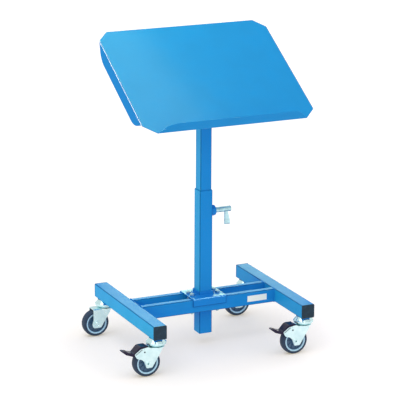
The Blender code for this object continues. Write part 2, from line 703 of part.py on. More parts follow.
def over_tyre(x):
    """Height above a pedal's pin that clears the tyre at x from the pin, with the pedal up and pressed down."""
    up = Vector((-TRAIL - PEDAL_PIN_X, AXLE_Z - PEDAL_PIN_Z))
    down = Matrix.Rotation(-PEDAL_PRESS, 2) @ up
    heights = []
    for axle, gap in ((up, PEDAL_CLEAR), (down, FIT)):
        heights.append(axle.y + math.sqrt((WHEEL_D / 2 + gap) ** 2 - (x - axle.x) ** 2))
    return max(heights)


def pedal_mesh():
    """A brake pedal, about its pin: a hood over the tyre, a heel that meets it and a tongue to step on."""
    half = FORK_IN - RUN_FIT
    front = -HEAD_R - PEDAL_GAP - PEDAL_PIN_X
    tip = -PEDAL_REACH - PEDAL_PIN_X
    steps = 8
    arch = [front + (-PEDAL_ARCH_BACK - front) * k / steps for k in range(steps + 1)]
    side = [(front, PEDAL_HOOD_H, PEDAL_BOSS), (-PEDAL_HOOD_BACK, PEDAL_HOOD_H, PEDAL_HOOD_R),
            (-PEDAL_DIP_BACK, -PEDAL_DIP, PEDAL_DIP_R), (-PEDAL_TREAD_BACK, -PEDAL_TREAD, PEDAL_TREAD_R),
            (tip, PEDAL_TIP_RISE, PEDAL_TIP_T / 3), (tip, PEDAL_TIP_RISE - PEDAL_TIP_T, PEDAL_TIP_T / 3),
            (tip + PEDAL_TONGUE_L, PEDAL_TIP_RISE - PEDAL_TONGUE_T, 2 * PEDAL_BOSS),
            (-PEDAL_HEEL_BACK, -PEDAL_HEEL, PEDAL_HEEL_R)]
    side += [(x, over_tyre(x), 0) for x in reversed(arch)]
    pedal = place("pedal", slab("pedal", [rounded(side, 3)], 2 * half, "XZ"), "black_plastic", None)
    wide = half + FIT
    ahead = front + FIT
    taper = tip + PEDAL_TAPER_L
    plan = rounded([
        (ahead, -wide, 0), (ahead, wide, 0), (taper, wide, PEDAL_TIP_W / 2),
        (tip - FIT, PEDAL_TIP_W / 2, PEDAL_TIP_W / 3), (tip - FIT, -PEDAL_TIP_W / 2, PEDAL_TIP_W / 3),
        (taper, -wide, PEDAL_TIP_W / 2)])
    shape(pedal, slab("pedal_plan", [plan], 4 * (PEDAL_HOOD_H + PEDAL_HEEL), "XY"), "INTERSECT")
    shape(pedal, rod("pedal_bore", PEDAL_PIN_D + 2 * FIT, -2 * half, 2 * half, "Y", sides=12))
    return shaped_mesh(pedal)


def mirrored(profile):
    """A turned profile that is the same above and below its middle, from its upper half."""
    return profile + [(r, -z) for r, z in reversed(profile)]


def wheel(name, swivel, axle_head_d, axle_head_t):
    axle = pivot(name + "_wheel", (-TRAIL, 0, AXLE_Z), swivel)
    outer = WHEEL_D / 2
    seat = outer - TYRE_T
    half = TYRE_W / 2
    soft = TYRE_SHOULDER
    tyre = [(seat, half), (outer - soft, half), (outer - soft / 5, half - 0.8 * soft), (outer, half - 2 * soft)]
    turned(name + "_tyre", mirrored(tyre), "grey_rubber", axle, (0, 0, 0), TYRE_SIDES, to_y=True)
    rim = seat - FIT
    core = [(AXLE_D / 2 + FIT, HUB_L / 2), (HUB_D / 2, HUB_L / 2), (HUB_D / 2, WEB_T / 2),
            (rim - RIM_T, WEB_T / 2), (rim - RIM_T, RIM_W / 2), (rim, RIM_W / 2)]
    turned(name + "_wheel_core", mirrored(core), "grey_nylon", axle, (0, 0, 0), CORE_SIDES, to_y=True)
    head = FORK_OUT + FIT
    end = head + axle_head_t
    shank = [(0, end), (axle_head_d / 2, end), (axle_head_d / 2, head), (AXLE_D / 2, head)]
    turned(name + "_axle", mirrored(shank), "zinc_plate", swivel, (-TRAIL, 0, AXLE_Z), 16,
           to_y=True, closed=False)


def casters(base):
    plain, braked, pedal = fork_mesh(False), fork_mesh(True), pedal_mesh()
    bore = KING_D / 2 + FIT
    head = [(bore, HEAD_H), (HEAD_END_R, HEAD_H), (HEAD_R, HEAD_CONE + HEAD_RIM), (HEAD_R, HEAD_CONE),
            (HEAD_END_R, 0), (bore, 0)]
    king_l = LEG_Z + TUBE_WALL + KING_STANDOUT - CROWN_Z
    for end, way in (("front", -1), ("rear", 1)):
        for side, x in (("left", -LEG_PITCH / 2), ("right", LEG_PITCH / 2)):
            name = f"{end}_{side}"
            y = way * CASTER_Y
            turned(name + "_swivel_head", head, "zinc_plate", base, (x, y, HEAD_Z), CORE_SIDES)
            bolt(name + "_king_bolt", KING_HEAD_AF, KING_HEAD_H, KING_D, king_l, "Z", base,
                 (x, y, CROWN_Z - FIT))
            swivel = pivot(name + "_swivel", (x, y, 0), base)
            if end == "rear":
                place(name + "_fork", plain, "zinc_plate", swivel)
                wheel(name, swivel, REAR_AXLE_HEAD_D, REAR_AXLE_HEAD_T)
                continue
            place(name + "_fork", braked, "zinc_plate", swivel)
            wheel(name, swivel, FRONT_AXLE_HEAD_D, FRONT_AXLE_HEAD_T)
            brake = pivot(name + "_brake", (PEDAL_PIN_X, 0, PEDAL_PIN_Z), swivel)
            place(name + "_brake_pedal", pedal, "black_plastic", brake)
            pin = rod(name + "_pedal_pin", PEDAL_PIN_D, -FORK_OUT, FORK_OUT, "Y", sides=12)
            place(name + "_pedal_pin", pin, "zinc_plate", brake)


def main():
    clear_scene()
    base = pivot("base", (BOX_SHIFT, 0, 0))
    legs(base)
    crossbeams(base)
    saddle(base)
    outer_post(base)
    casters(base)
    clamp_screw(base)
    carrier = mast(base)
    tilt = pivot("tray_tilt", (0, 0, PIVOT_Z - INNER_TOP + INNER_L), carrier, TILT)
    bracket(tilt)
    tray(tilt)
    bpy.context.view_layer.update()


if __name__ == "__main__":
    main()
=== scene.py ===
"""Looks of a material support stand: painted tubes and tray, zinc casters, brake pedals, levers, a studio.

Laid out as an add-on. Each operator dresses one group of pieces on the stand's frame, in metres, +Z up.
"""
import json
import math
from collections import namedtuple

import bmesh
import bpy
from bpy.props import FloatProperty, FloatVectorProperty, PointerProperty
from bpy.types import Operator, Panel, PropertyGroup
from mathutils import Matrix, Vector


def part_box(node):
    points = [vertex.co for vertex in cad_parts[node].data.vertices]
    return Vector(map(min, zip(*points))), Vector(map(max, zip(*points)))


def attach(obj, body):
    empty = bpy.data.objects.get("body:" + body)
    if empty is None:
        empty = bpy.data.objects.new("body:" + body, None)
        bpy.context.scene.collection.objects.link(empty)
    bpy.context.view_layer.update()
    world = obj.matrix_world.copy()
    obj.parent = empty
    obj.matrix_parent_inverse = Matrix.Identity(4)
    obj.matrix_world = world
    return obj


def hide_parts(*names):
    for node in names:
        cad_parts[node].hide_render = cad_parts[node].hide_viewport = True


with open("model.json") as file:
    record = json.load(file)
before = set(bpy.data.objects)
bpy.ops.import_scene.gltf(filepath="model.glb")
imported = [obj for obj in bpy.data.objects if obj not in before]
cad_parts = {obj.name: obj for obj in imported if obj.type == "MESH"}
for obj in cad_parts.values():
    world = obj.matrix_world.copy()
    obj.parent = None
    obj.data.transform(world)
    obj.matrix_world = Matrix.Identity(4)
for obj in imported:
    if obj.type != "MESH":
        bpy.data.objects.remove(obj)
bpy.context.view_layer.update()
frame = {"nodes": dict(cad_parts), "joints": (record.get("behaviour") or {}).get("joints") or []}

bl_info = {
    "name": "Material support stand",
    "version": (1, 0, 0),
    "blender": (4, 5, 0),
    "location": "View3D > Sidebar > Stand",
    "description": "Dresses the stand's frame with its tubes, tray, casters, levers, welds and studio",
    "category": "Object",
}

JOINTS = {joint["name"]: joint for joint in frame["joints"]}
PIVOT = Vector(JOINTS["tray_tilt"]["pos_m"])
# The tray lies level at the lower limit of its joint
TILT = math.radians(-JOINTS["tray_tilt"]["range_deg"][0])
TRAY_FRAME = Matrix.Translation(PIVOT) @ Matrix.Rotation(TILT, 4, "X")
FRONT_CASTERS = ("front_left", "front_right")
CASTERS = FRONT_CASTERS + ("rear_left", "rear_right")


# Settings

def length(name, description, default):
    return FloatProperty(name=name, description=description, default=default, unit="LENGTH", precision=5)


def turn(name, description, degrees):
    return FloatProperty(name=name, description=description, default=math.radians(degrees), subtype="ANGLE")


def share(name, description, default):
    return FloatProperty(name=name, description=description, default=default, min=0.0, max=1.0,
                         subtype="FACTOR")


def power(name, description, default):
    return FloatProperty(name=name, description=description, default=default, unit="POWER")


def colour(name, description, default):
    return FloatVectorProperty(name=name, description=description, default=default, min=0.0, max=1.0,
                               subtype="COLOR", size=3)


class StandFinishes(PropertyGroup):
    """Colours of the finishes, and how rough they are."""
    # The tubes and the tray carry one blue coat; its two tones are painted for the different light that
    # falls on them
    paint: colour("Paint", "Powder coat on the tubes and the saddle", (0.012, 0.222, 0.661))
    paint_tray_as_lit: colour("Tray paint", "Powder coat on the tray", (0.011, 0.250, 0.610))
    # Painted shade: the dark lines on the tubes' corners, the tray's down folds and the saddle's flange
    # edges
    paint_edge_shade: colour("Paint on edges", "Powder coat drawn thin over corners", (0.004, 0.084, 0.307))
    # Painted shade: the tray's turned-down edges are painted a little darker than its top
    paint_turned_down_shade: colour("Thin paint", "Powder coat on the tray's turned down edges", (0.018, 0.230, 0.600))
    paint_sheen: colour("Paint sheen", "Tint of the light that the powder coat reflects", (0.40, 0.95, 1.0))
    paint_roughness: share("Paint roughness", "Roughness of the powder coat", 0.29)
    paint_gloss: share("Paint gloss", "Strength of the powder coat's glossy skin", 0.10)
    bend_gloss: share("Bend gloss", "How much glossier the powder coat is round the sheets' bends", 0.90)
    zinc: colour("Zinc", "Bright zinc plate", (0.71, 0.92, 0.94))
    zinc_shade: colour("Zinc shade", "Zinc plate where its passivation is thicker", (0.59, 0.81, 0.85))
    zinc_dull: colour("Dull zinc", "Zinc plate on the bolts, nuts and levers", (0.525, 0.80, 0.865))
    zinc_roughness: share("Zinc roughness", "Roughness of the zinc plate", 0.30)
    plug: colour("Plugs", "Black plastic of the end plugs", (0.012, 0.033, 0.056))
    pedal: colour("Pedals", "Black plastic of the brake pedals", (0.012, 0.013, 0.029))
    rubber: colour("Rubber", "Tyres", (0.024, 0.045, 0.087))
    rubber_dust: colour("Rubber dust", "Dust on the treads", (0.045, 0.070, 0.101))
    # The pale ring is partly lighter plastic and partly a painted highlight; the dark core is partly painted
    # shade of its recess
    rim: colour("Rim", "Rings that the cores show inside their tyres", (0.45, 0.70, 0.88))
    core: colour("Core", "Webs and hubs of the wheel cores", (0.054, 0.135, 0.254))
    brass: colour("Brass", "Clamp pad", (0.72, 0.52, 0.22))
    label: colour("Label", "Blank label on the front crossbeam", (0.90, 0.93, 0.90))
    floor: colour("Floor", "Studio floor", (0.724, 0.69, 0.768))
    # The floor glows evenly near the stand, and a painted glow grows away from it to fade its shadow
    floor_near: colour("Floor near", "Glow of the floor under the stand", (0.310, 0.271, 0.168))
    floor_far_painted_glow: colour("Floor far", "Glow of the floor away from the stand", (0.420, 0.375, 0.295))


class StandSteelwork(PropertyGroup):
    """Sizes of the tubes, plates and tray that the frame's boxes don't give."""
    tube_wall: length("Tube wall", "Wall of the legs, crossbeams and posts", 0.002)
    tube_radius: length("Tube corner", "Outer corner radius of the tubes", 0.003)
    sleeve_wall: length("Sleeve wall", "Wall of the post's socket sleeve", 0.003)
    edge: length("Edge", "Radius that cut edges are broken to", 0.0004)
    saddle_sheet: length("Saddle sheet", "Thickness of the saddle's plates", 0.003)
    saddle_bend: length("Saddle bend", "Outer radius of the saddle's folds", 0.0045)
    tray_sheet: length("Tray sheet", "Thickness of the tray", 0.002)
    tray_bend: length("Tray bend", "Outer radius of the tray's folds", 0.004)
    tray_lip: length("Tray lip", "Height of the front fold", 0.034)
    tray_corner: length("Tray corner", "Size of the cut corners", 0.0365)
    flange_round: length("Flange round", "Radius where a fold's free edge rises to its end", 0.060)
    weld: length("Weld", "Leg of the fillet welds", 0.0035)
    weld_ripple: length("Weld ripple", "Distance between a weld's ripples", 0.0024)
    label_width: length("Label width", "Length of the blank label", 0.062)
    label_height: length("Label height", "Height of the blank label", 0.018)
    label_offset: length("Label offset", "From the post's line right to the label's middle", 0.153)


class StandHardware(PropertyGroup):
    """Sizes of the bolts, nuts and levers."""
    clearance: length("Clearance", "Gap between neighbouring pieces", 0.0003)
    saddle_bolt: length("Saddle bolt", "Thread diameter of the saddle's bolts", 0.008)
    pivot_bolt: length("Pivot bolt", "Thread diameter of the tilt bolt", 0.010)
    king_bolt: length("King bolt", "Thread diameter of the casters' bolts", 0.010)
    lock_bolt: length("Lock bolt", "Thread diameter of the tilt lock's bolt", 0.008)
    lock_radius: length("Lock radius", "From the tilt axis to the lock bolt", 0.045)
    tilt_max: turn("Steepest tilt", "Tilt at the end of the lock's slot", 50)
    ear: length("Ear", "Thickness of the tilt bracket's ears", 0.004)
    ear_edge: length("Ear edge", "Metal outside the lock's slot", 0.009)
    ear_spread: turn("Ear spread", "Metal past each end of the lock's slot", 17)
    web: length("Web", "Thickness of the tilt bracket's web", 0.0037)
    clamp_hub: length("Clamp hub", "Diameter of the clamp lever's hub", 0.016)
    lock_hub: length("Lock hub", "Diameter of the lock lever's hub", 0.014)
    lever_arm: length("Lever arm", "Thickness of a lever's arm", 0.009)
    lever_root: length("Lever root", "Width of a lever's arm at its hub", 0.0080)
    lever_end: length("Lever end", "Width of a lever's arm at its end", 0.0195)


class StandCasters(PropertyGroup):
    """Sizes of the casters."""
    tyre: length("Tyre", "Thickness of a tyre", 0.008)
    tyre_shoulder: length("Tyre shoulder", "Radius of a tyre's shoulders", 0.006)
    rim_lip: length("Rim lip", "Width of the ring that a core shows inside its tyre", 0.0042)
    web: length("Web", "Thickness of a core's web", 0.008)
    hub: length("Hub", "Diameter of a core's hub", 0.022)
    axle: length("Axle", "Diameter of an axle", 0.008)
    fork_sheet: length("Fork sheet", "Thickness of a fork", 0.0025)
    fork_in: length("Fork inside", "Half the width between a fork's plates", 0.0144)
    crown: length("Crown", "Radius of a fork's crown", 0.023)
    nose: length("Nose", "How far a fork reaches before its swivel", 0.014)
    nose_height: length("Nose height", "Depth of the fork's nose", 0.010)
    nose_taper: length("Nose taper", "How far the nose falls back", 0.005)
    toe: length("Toe", "Depth of a fork below its axle", 0.0125)
    heel: length("Heel", "Half the width of a fork round its axle", 0.012)
    corner: length("Corner", "Radius of a fork's corners", 0.008)
    bulge: length("Bulge", "How far a rear fork stands out beside its axle", 0.0035)
    bulge_height: length("Bulge height", "Height of that bulge", 0.012)
    rear_back: length("Rear back", "From a rear axle to the fork's back edge", 0.0115)
    wing: length("Wing", "Reach of a front fork's wings behind its axle", 0.041)
    wing_low: length("Wing low", "Lower edge of the wings, above the axle", 0.019)
    wing_tip: length("Wing tip", "Tip of the wings, above the axle", 0.032)
    notch: length("Notch", "Step below the wings", 0.007)
    wing_slope: length("Wing slope", "Length of the wings' sloping top", 0.018)
    cheek: length("Cheek", "How far the wings rise over the crown", 0.0035)
    hood: length("Hood", "Height of a pedal's hood over its pin", 0.0075)
    pedal_tip: length("Pedal tip", "Width of a pedal's tip", 0.016)


class StandStage(PropertyGroup):
    """The camera, and the studio's lights."""
    target: FloatVectorProperty(name="Target", description="Point that the camera looks at", subtype="XYZ",
                                unit="LENGTH", size=3, default=(PIVOT.x - 0.0109, 0.0, 0.431))
    distance: length("Distance", "From the target to the camera", 6.035)
    azimuth: turn("Azimuth", "Camera's turn from straight ahead", -24.92)
    elevation: turn("Elevation", "Camera's height above level", 15.53)
    roll: turn("Roll", "Camera's turn about its own line", 0.27)
    lens: FloatProperty(name="Lens", description="Focal length on the sensor", default=190.44, unit="CAMERA")
    sky: FloatProperty(name="Sky", description="Brightness of the studio's walls", default=0.84)
    tint: colour("Light tint", "Colour of the studio's walls and key light", (0.95, 1.0, 0.99))
    sun: FloatProperty(name="Key light", description="Strength of the front left light", default=0.9)
    spread: turn("Key spread", "Width of the key light, which softens its shadows", 50)
    glare: power("Glare", "Softbox that the tray reflects", 60.0)
    glare_tint: colour("Glare tint", "Colour of the softbox that the tray reflects", (0.68, 1.0, 0.45))
    left: power("Left light", "Softbox over the tray's left side", 3.3)
    left_tint: colour("Left tint", "Colour over the tray's left side and on the legs", (0.60, 1.0, 0.55))
    fill: power("Side fill", "Softbox low at the left, kept to the tubes", 15.5)
    fill_tint: colour("Side tint", "Colour of the softbox low at the left", (0.60, 1.0, 0.15))
    fold_glint: power("Fold glint", "Softbox that shines on the tray's folds", 125.0)
    bend_glint: power("Bend glint", "Softbox that shines on the saddle's bends", 80.0)
    bend_tint: colour("Bend tint", "Colour of the softbox that shines on bends", (0.50, 1.0, 1.0))
    leg_sheen: power("Leg sheen", "Softbox that shines on the legs' tops", 8.5)


SETTINGS = {
    "stand_finishes": StandFinishes,
    "stand_steelwork": StandSteelwork,
    "stand_hardware": StandHardware,
    "stand_casters": StandCasters,
    "stand_stage": StandStage,
}


# Finishes

class Value:
    """A node's output, used in sums like a number. Each operator adds one Math node."""

    def __init__(self, shader, socket):
        self.shader = shader
        self.socket = socket

    def maths(self, operation, first, second):
        return self.shader.node("ShaderNodeMath", {"operation": operation}, {0: first, 1: second})

    def __add__(self, other):
        return self.maths("ADD", self, other)

    def __radd__(self, other):
        return self.maths("ADD", other, self)

    def __sub__(self, other):
        return self.maths("SUBTRACT", self, other)

    def __rsub__(self, other):
        return self.maths("SUBTRACT", other, self)

    def __mul__(self, other):
        return self.maths("MULTIPLY", self, other)

    def __rmul__(self, other):
        return self.maths("MULTIPLY", other, self)


class Shader:
    """A material and its nodes. Patterns lie in the piece's own metres, so they move with it."""

    def __init__(self, name):
        self.material = bpy.data.materials.new(name)
        self.material.use_nodes = True
        self.tree = self.material.node_tree
        self.surface = self.tree.nodes["Principled BSDF"]
        self.place = self.node("ShaderNodeTexCoord", out="Object")

    def node(self, kind, settings=None, sockets=None, out=0):
        """A node's output, with its settings made first, and then the values or links of its sockets."""
        made = self.tree.nodes.new(kind)
        for key, value in (settings or {}).items():
            if key == "stops":
                self.set_stops(made.color_ramp, value)
            else:
                setattr(made, key, value)
        for key, value in (sockets or {}).items():
            self.feed(made.inputs[key], value)
        return Value(self, made.outputs[out])

    def set_stops(self, ramp, stops):
        """A ramp's two stops, each a place and a grey."""
        for element, (place, grey) in zip(ramp.elements, stops):
            element.position = place
            element.color = (grey, grey, grey, 1.0)

    def feed(self, socket, value):
        if isinstance(value, Value):
            self.tree.links.new(value.socket, socket)
        else:
            socket.default_value = value

    def marked(self, name):
        """What a mesh's points hold under a name, and 0 where the mesh holds nothing."""
        return self.node("ShaderNodeAttribute", {"attribute_name": name}, out="Fac")

    def noise(self, scale, detail=2.0, stretch=(1.0, 1.0, 1.0)):
        """Soft noise about 0.5, with so many cells in a metre, drawn out along the axes."""
        where = self.node("ShaderNodeVectorMath", {"operation": "MULTIPLY"}, {0: self.place, 1: stretch})
        return self.node("ShaderNodeTexNoise", {}, {"Vector": where, "Scale": scale, "Detail": detail})

    def ramp(self, value, *stops):
        return self.node("ShaderNodeValToRGB", {"stops": stops}, {0: value})

    def mix(self, factor, first, second):
        """The first colour, going over to the second."""
        first, second = (c if isinstance(c, Value) else (*c, 1.0) for c in (first, second))
        return self.node("ShaderNodeMix", {"data_type": "RGBA"}, {0: factor, 6: first, 7: second}, out=2)

    def bump(self, height, depth, strength):
        return self.node("ShaderNodeBump", {}, {"Height": height, "Distance": depth, "Strength": strength})

    def finish(self, **sockets):
        """Sets the surface's sockets, named with _ for a space, and gives the material."""
        for key, value in sockets.items():
            socket = self.surface.inputs[key.replace("_", " ")]
            if not isinstance(value, Value) and socket.type == "RGBA":
                value = (*value, 1.0)
            self.feed(socket, value)
        return self.material


def dimmed(colour_in, by):
    return tuple(by * channel for channel in colour_in)


def powder_coat(finishes):
    """Semi-gloss powder coat: a fine orange peel, slow changes of depth, and painted shade lines on the
    tubes' corners, the tray's down folds and the saddle's flange edges.

    The tray's coat is glossier than the rest, most of all round its folds,
    and dull on the edges turned down, which also get a painted shade. The tray and the other
    steelwork carry one blue in two tones, painted for the different light that falls on them.
    """
    look = Shader("powder_coat")
    cloud, peel, grain = look.noise(14.0, 3.0), look.noise(520.0, 1.0), look.noise(2600.0, 1.0)
    corner, bend, turned_down, tray = map(look.marked, ("corner", "bend", "turned_down", "tray"))
    # One blue in two tones, painted for the light on the tray and on the other steelwork
    coats = (finishes.paint, finishes.paint_tray_as_lit)
    thin, thick = look.mix(tray, *coats), look.mix(tray, *(dimmed(coat, 0.95) for coat in coats))
    shade = look.mix(look.ramp(cloud, (0.35, 0.0), (0.65, 1.0)), thin, thick)
    # Painted shade on the turned-down edges
    shade = look.mix(turned_down, shade, finishes.paint_turned_down_shade)
    # Painted shade along the corners, the down folds and the flange edges
    shade = look.mix(0.85 * corner, shade, finishes.paint_edge_shade)
    rough = finishes.paint_roughness + 0.10 * (cloud - 0.5) + 0.12 * (grain - 0.5)
    rough = rough + 0.70 * turned_down + 0.14 * (1.0 - tray)
    gloss = (finishes.paint_gloss + finishes.bend_gloss * bend) * (0.8 + 0.2 * tray - turned_down)
    relief = look.bump(0.8 * peel + 0.2 * grain, 0.00016, 0.5)
    return look.finish(Base_Color=shade, Roughness=rough, Coat_Weight=gloss, Coat_Roughness=0.12,
                       Normal=relief, Specular_IOR_Level=0.04, Specular_Tint=finishes.paint_sheen)


def clouded(name, colours, clouds, grain, rough, relief, stops=None, ring=None, **constants):
    """A finish whose colour goes over from one to another in clouds, with a fine bumped grain.

    The clouds and the grain are noises, rough is a mean and how far it follows each of them, relief is the
    grain's depth and strength, stops sharpen the clouds, and ring is a colour for the points so marked.
    """
    look = Shader(name)
    noises = look.noise(*clouds), look.noise(*grain)
    shade = look.mix(look.ramp(noises[0], *stops) if stops else noises[0], *colours)
    if ring:
        shade = look.mix(look.marked("ring"), shade, ring)
    roughness, *swings = rough
    for swing, noise in zip(swings, noises):
        roughness = roughness + swing * (noise - 0.5) if swing else roughness
    normal = look.bump(noises[1], *relief)
    return look.finish(Base_Color=shade, Roughness=roughness, Normal=normal, **constants)


def pressed_zinc(finishes):
    """Bright zinc on pressed sheet: cloudy passivation and fine drawing marks."""
    return clouded("pressed_zinc", (finishes.zinc, finishes.zinc_shade), clouds=(55.0, 3.0),
                   stops=((0.38, 0.0), (0.72, 1.0)), grain=(900.0, 2.0, (1.0, 1.0, 0.08)),
                   rough=(finishes.zinc_roughness, 0.16, 0.10), relief=(0.00004, 0.3), Metallic=1.0)


def turned_zinc(finishes):
    """Zinc on turned and rolled pieces: glossier, with marks that run round."""
    return clouded("turned_zinc", (finishes.zinc, finishes.zinc_shade), clouds=(80.0, 2.0),
                   stops=((0.40, 0.0), (0.75, 1.0)), grain=(1400.0, 1.0, (0.1, 0.1, 1.0)),
                   rough=(0.5 * finishes.zinc_roughness, 0.10, 0.06), relief=(0.00003, 0.25), Metallic=1.0)


def dull_zinc(finishes):
    """Duller, bluer zinc on the bolts, nuts and cast levers."""
    return clouded("dull_zinc", (finishes.zinc_dull, dimmed(finishes.zinc_dull, 0.7)), clouds=(140.0, 3.0),
                   stops=((0.35, 0.0), (0.70, 1.0)), grain=(700.0, 2.0),
                   rough=(finishes.zinc_roughness, 0.20, 0.10), relief=(0.00005, 0.3), Metallic=1.0)


def moulded_plastic(finishes):
    """Black plastic of the end plugs, with a fine spark-eroded grain and pale scuffs."""
    return clouded("moulded_plastic", (finishes.plug, dimmed(finishes.plug, 2.2)), clouds=(90.0, 4.0),
                   stops=((0.45, 0.0), (0.80, 0.5)), grain=(1800.0, 2.0), rough=(0.42, 0.20, 0.15),
                   relief=(0.00008, 0.4), Specular_IOR_Level=0.22)


def glossy_plastic(finishes):
    """Polished black plastic of the brake pedals, dulled where shoes rub it."""
    look = Shader("glossy_plastic")
    rubbed = look.ramp(look.noise(120.0, 3.0), (0.50, 0.0), (0.85, 0.5))
    waves = look.bump(look.noise(260.0, 1.0), 0.0001, 0.25)
    return look.finish(Base_Color=look.mix(rubbed, finishes.pedal, dimmed(finishes.pedal, 2.0)),
                       Roughness=0.14 + 0.44 * rubbed, Normal=waves, Specular_IOR_Level=0.28,
                       Specular_Tint=(0.85, 0.62, 1.0))


def tyre_rubber(finishes):
    """Blue-grey rubber, a little dusty, with a faint moulded grain."""
    return clouded("tyre_rubber", (finishes.rubber, finishes.rubber_dust), clouds=(160.0, 5.0),
                   stops=((0.45, 0.0), (0.80, 0.6)), grain=(2200.0, 2.0), rough=(0.62, 0.25, 0.0),
                   relief=(0.0001, 0.4), Specular_IOR_Level=0.25)


def core_plastic(finishes):
    """Blue-grey moulded plastic of the wheel cores, kept dark partly as painted shade in their recessed
    webs, and pale on the ring beside the tyre, partly lighter plastic and partly a painted highlight.
    """
    return clouded("core_plastic", (finishes.core, dimmed(finishes.core, 0.75)), clouds=(70.0, 3.0),
                   stops=((0.35, 0.0), (0.75, 1.0)), grain=(1500.0, 1.0), rough=(0.36, 0.14, 0.0),
                   relief=(0.00005, 0.3), ring=finishes.rim)


def turned_brass(finishes):
    """Brass with turning marks."""
    look = Shader("turned_brass")
    marks = look.noise(1500.0, 1.0, (1.0, 0.1, 0.1))
    return look.finish(Base_Color=look.mix(marks, finishes.brass, dimmed(finishes.brass, 0.7)),
                       Roughness=0.25 + 0.2 * marks, Metallic=1.0)


def label_vinyl(finishes):
    """White film with a faint tooth."""
    return clouded("label_vinyl", (finishes.label, dimmed(finishes.label, 0.95)), clouds=(60.0, 3.0),
                   grain=(1200.0, 2.0), rough=(0.40, 0.0, 0.1), relief=(0.00003, 0.3))


def studio_floor(finishes):
    """Pale matt studio floor that glows evenly, as a light table does, with a painted glow that grows away
    from the stand and fades its shadow there.
    """
    # Middle of the painted glow, and the distances where it starts to grow and where it is full
    middle, near, far = (-0.03, 0.03, 0.0), 0.24, 0.52
    look = Shader("studio_floor")
    shade = look.mix(look.noise(3.0, 2.0), finishes.floor, dimmed(finishes.floor, 0.985))
    reach = look.node("ShaderNodeVectorMath", {"operation": "DISTANCE"}, {0: look.place, 1: middle},
                      out="Value")
    away = look.node("ShaderNodeMapRange", {"interpolation_type": "SMOOTHSTEP"},
                     {"Value": reach, "From Min": near, "From Max": far})
    return look.finish(Base_Color=shade, Roughness=0.75, Emission_Strength=1.0,
                       Emission_Color=look.mix(away, finishes.floor_near, finishes.floor_far_painted_glow))


# Each finish's maker, and the record's slot that it shows
FINISHES = {
    "powder_coat": (powder_coat, "blue_paint"),
    "pressed_zinc": (pressed_zinc, "zinc_plate"),
    "turned_zinc": (turned_zinc, "zinc_plate"),
    "dull_zinc": (dull_zinc, "zinc_plate"),
    "moulded_plastic": (moulded_plastic, "black_plastic"),
    "glossy_plastic": (glossy_plastic, "black_plastic"),
    "tyre_rubber": (tyre_rubber, "grey_rubber"),
    "core_plastic": (core_plastic, "grey_nylon"),
    "turned_brass": (turned_brass, "brass"),
    "label_vinyl": (label_vinyl, "blue_paint"),
    "studio_floor": (studio_floor, None),
}


def finish(name):
    maker = FINISHES[name][0]
    return bpy.data.materials.get(name) or maker(bpy.context.scene.stand_finishes)


# Outlines

def rounded(corners, steps=6):
    """A closed outline's points from its corners, each (x, y, radius), with an arc at each corner."""
    points = []
    for i, (x, y, radius) in enumerate(corners):
        corner = Vector((x, y))
        if radius == 0:
            points.append(corner)
            continue
        before = (Vector(corners[i - 1][:2]) - corner).normalized()
        after = (Vector(corners[(i + 1) % len(corners)][:2]) - corner).normalized()
        half = before.angle(after) / 2
        centre = corner + (before + after).normalized() * radius / math.sin(half)
        start = corner + before * radius / math.tan(half) - centre
        end = corner + after * radius / math.tan(half) - centre
        sweep = math.atan2(start.x * end.y - start.y * end.x, start.dot(end))
        points += [centre + Matrix.Rotation(sweep * k / steps, 2) @ start for k in range(steps + 1)]
    return points


def rectangle(width, height, radius, steps=6):
    signs = ((-1, -1), (1, -1), (1, 1), (-1, 1))
    return rounded([(i * width / 2, j * height / 2, radius) for i, j in signs], steps)


def circle(radius, sides):
    angles = [2 * math.pi * k / sides for k in range(sides)]
    return [Vector((radius * math.cos(a), radius * math.sin(a))) for a in angles]


def quarter(radius, steps):
    """A rounded edge from side to top, as pairs of how far it lies in from the side and below the top."""
    angles = [math.pi / 2 * k / steps for k in range(steps + 1)]
    return [(radius * (1 - math.cos(a)), radius * (1 - math.sin(a))) for a in angles]


# Meshes

ORIGIN = (0.0, 0.0, 0.0)
# Order that a flat point (x, y) and its height take along X, Y and Z, when the height runs along each axis
ALONG = {"Z": (0, 1, 2), "Y": (0, 2, 1), "X": (2, 0, 1)}
# Turns that lay a piece, made along +Z, along an axis
LAID = {
    "+Z": Matrix.Identity(4),
    "-Z": Matrix.Rotation(math.pi, 4, "X"),
    "+X": Matrix.Rotation(math.pi / 2, 4, "Y"),
}


def lift(outline, height, axis="Z", at=ORIGIN):
    """An outline's points in space, at a height along an axis."""
    order = ALONG[axis]
    return [Vector([(x, y, height)[k] for k in order]) + Vector(at) for x, y in outline]


def as_mesh(bm):
    mesh = bpy.data.meshes.new("mesh")
    bm.to_mesh(mesh)
    bm.free()
    return mesh


def loft(rings, joined=False):
    """A closed mesh through rings of equally many points, with its ends joined or closed with flat faces."""
    bm = bmesh.new()
    loops = [[bm.verts.new(p) for p in ring] for ring in rings]
    pairs = list(zip(loops, loops[1:]))
    if joined:
        pairs.append((loops[-1], loops[0]))
    else:
        bm.faces.new(loops[0])
        bm.faces.new(loops[-1])
    for low, high in pairs:
        for i in range(len(low)):
            j = (i + 1) % len(low)
            bm.faces.new((low[i], low[j], high[j], high[i]))
    bmesh.ops.remove_doubles(bm, verts=bm.verts, dist=1e-7)
    bmesh.ops.recalc_face_normals(bm, faces=bm.faces)
    return as_mesh(bm)


def prism(outline, low, high, axis="Z", at=ORIGIN):
    return loft([lift(outline, low, axis, at), lift(outline, high, axis, at)])


def turned(profile, sides=48, axis="Z", at=ORIGIN, joined=False):
    """A turned mesh from a profile of (radius, height), joined to its start where it goes round a bore."""
    return loft([lift(circle(max(r, 1e-9), sides), h, axis, at) for r, h in profile], joined)


